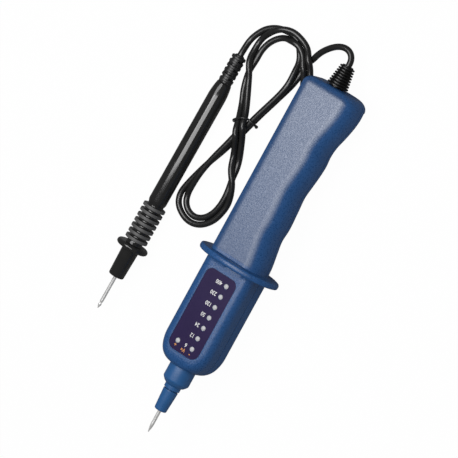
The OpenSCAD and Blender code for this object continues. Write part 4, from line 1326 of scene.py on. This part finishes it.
    def build(self) -> None:
        path = self.evenly(smooth_through(self.settle(), 3), 1.1) * MM
        obj = self.tube("cable_run", path, self.r * MM, 24)
        finish_piece(obj, Finish.CABLE, "cord_lead_main", "cord_hank", "cord_lead_probe")
        tie = finish_piece(self.tie(), Finish.TIE, "cord_tie")
        LOG.info("cable length %.4f m", self.along(path)[-1])


# --- Parts inside -----------------------------------------------------------


def dress_inside(nodes: dict[str, Piece]) -> None:
    """Finishes of the CAD nodes that stay as they are, inside the shells and the probe."""
    finishes = {
        Finish.BRASS: ("tip_contact", "probe_solder_cup"), Finish.BOARD: ("circuit_board",),
        Finish.CHIP: ("comparator_chip", "divider_resistors", "rectifier_diodes"),
        Finish.CAN: ("filter_capacitor",), Finish.SCREW: ("housing_screws",),
        Finish.RESISTOR: ("series_resistor_a", "series_resistor_b"), Finish.CABLE: ("inner_lead", "probe_inner_lead"),
    }  # fmt: skip
    for finish, names in finishes.items():
        for name in names:
            finish.dress(nodes[name])


# --- Studio -----------------------------------------------------------------


@dataclass
class Studio:
    """Camera, lamps, floor and background."""

    pixels: float = 458.0
    pixel_mm: float = 0.55
    guard_mm: tuple[float, float, float] = (26.0, -9.7, 18.96)
    guard_px: tuple[float, float] = (239.28, 265.41)
    sensor: float = 36.0
    distance: float = 3.0
    ambient: float = 0.30
    mirrored: float = 0.09

    def camera(self) -> None:
        """Long lens along the photograph's direction w, with the picture's right = 0.877 r + 0.480 u square to it,
        where r and u are the level right and the upright. The guard's middle falls on its place in the photograph."""
        w = np.array([0.4187, 0.1979, 0.8863])
        w /= np.linalg.norm(w)
        right = 0.877 * np.array([0.9062, -0.0276, -0.4220]) + 0.480 * np.array([-0.0590, 0.9798, -0.1909])
        right -= w * (right @ w)
        right /= np.linalg.norm(right)
        up = np.cross(w, right)
        across, down = self.pixel_mm * (self.pixels / 2 - np.array(self.guard_px))
        spot = (np.array(self.guard_mm) + across * right - down * up) * MM + w * self.distance
        data = bpy.data.cameras.new("camera")
        data.sensor_fit, data.sensor_width = "HORIZONTAL", self.sensor
        data.lens = self.sensor * self.distance / (self.pixels * self.pixel_mm * MM)
        data.clip_end = 20
        obj = add("camera", data)
        obj.matrix_world = Matrix([[*row, s] for row, s in zip(np.column_stack([right, up, w]), spot)] + [[0, 0, 0, 1]])
        bpy.context.scene.camera = obj

    @staticmethod
    def lamp(name: str, place: Sequence[float], aim: Sequence[float], size: tuple[float, float], power: float) -> None:
        """Soft rectangular lamp at `place`, turned to `aim`, with its size in metres and its power in watts."""
        data = bpy.data.lights.new(name, "AREA")
        data.shape, data.size, data.size_y, data.energy = "RECTANGLE", *size, power
        obj = add(name, data)
        obj.location = place
        obj.rotation_euler = (Vector(place) - Vector(aim)).to_track_quat("Z", "Y").to_euler()

    @staticmethod
    def white(tree: bpy.types.NodeTree, kind: str, strength: float) -> bpy.types.NodeSocket:
        """White light of that strength, from a Background or an Emission node."""
        node = tree.nodes.new(kind)
        node.inputs["Color"].default_value, node.inputs["Strength"].default_value = (1, 1, 1, 1), strength
        return node.outputs[0]

    def by_ray(self, base: bpy.types.NodeSocket, end: bpy.types.Node, kind: str, lights: Sequence[Light]) -> None:
        """Lays white light over a tree's base shader, for the rays of each sort in turn.

        Args:
            base: the shader that other rays meet.
            end: the tree's output node.
            kind: the type of node that gives the light.
            lights: (ray, share, strength) of each, the last one on top.
        """
        tree = end.id_data
        rays = tree.nodes.new("ShaderNodeLightPath")
        for ray, share, strength in lights:
            part, mix = tree.nodes.new("ShaderNodeMath"), tree.nodes.new("ShaderNodeMixShader")
            part.operation, part.inputs[1].default_value = "MULTIPLY", share
            sources = (rays.outputs[ray], part.outputs[0], base, self.white(tree, kind, strength))
            for source, target in zip(sources, (part.inputs[0], *mix.inputs)):
                tree.links.new(source, target)
            base = mix.outputs[0]
        tree.links.new(base, end.inputs["Surface"])

    def floor(self, size: float = 2.5) -> None:
        """White floor that the camera sees near white with the object's soft shadow."""
        mesh = bpy.data.meshes.new("floor")
        mesh.from_pydata([(-size, -size, 0), (size, -size, 0), (size, size, 0), (-size, size, 0)], [], [(0, 1, 2, 3)])
        s = Shader("floor_white", Base_Color=(0.75, 0.75, 0.75, 1), Roughness=0.9, Specular_IOR_Level=0.1)
        lights = (("Is Glossy Ray", 0.85, 0.05), ("Is Camera Ray", 0.98, 1.0))
        self.by_ray(s.surface.outputs[0], s.end, "ShaderNodeEmission", lights)
        mesh.materials.append(s.material)
        add("floor", mesh)

    def surroundings(self) -> None:
        """World: white where the camera looks at it, dark in reflections, and a plain grey light elsewhere."""
        world = bpy.data.worlds.new("studio")
        bpy.context.scene.world = world
        world.use_nodes = True
        tree, kind = world.node_tree, "ShaderNodeBackground"
        tree.nodes.clear()
        lights = (("Is Glossy Ray", 1.0, self.mirrored), ("Is Camera Ray", 1.0, 1.0))
        self.by_ray(self.white(tree, kind, self.ambient), tree.nodes.new("ShaderNodeOutputWorld"), kind, lights)

    def build(self) -> None:
        """Sets the stage and the lamps."""
        self.camera()
        self.floor()
        self.surroundings()
        self.lamp("key", (-0.12, 0.19, 0.56), (0.01, 0.05, 0.0), (0.40, 0.28), 1.62)
        self.lamp("edge", (0.03, 0.0, 0.57), (0.02, 0.0, 0.0), (0.14, 0.50), 1.45)
        bpy.context.scene.view_settings.view_transform = "Standard"


# --- The whole --------------------------------------------------------------


def main() -> None:
    """Builds every sub-assembly in order."""
    logging.basicConfig(level=logging.INFO, format="%(name)s: %(message)s", stream=sys.stdout)
    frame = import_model()
    nodes = frame["nodes"]
    Studio().build()
    Cable().build()
    label = Display()
    HandUnit().build(label)
    label.build(nodes)
    for piece in (Nose(), RibbedBoot(), ProbeHandle(), LinkBoot()):
        piece.build()
    dress_inside(nodes)


if __name__ == "__main__":
    main()
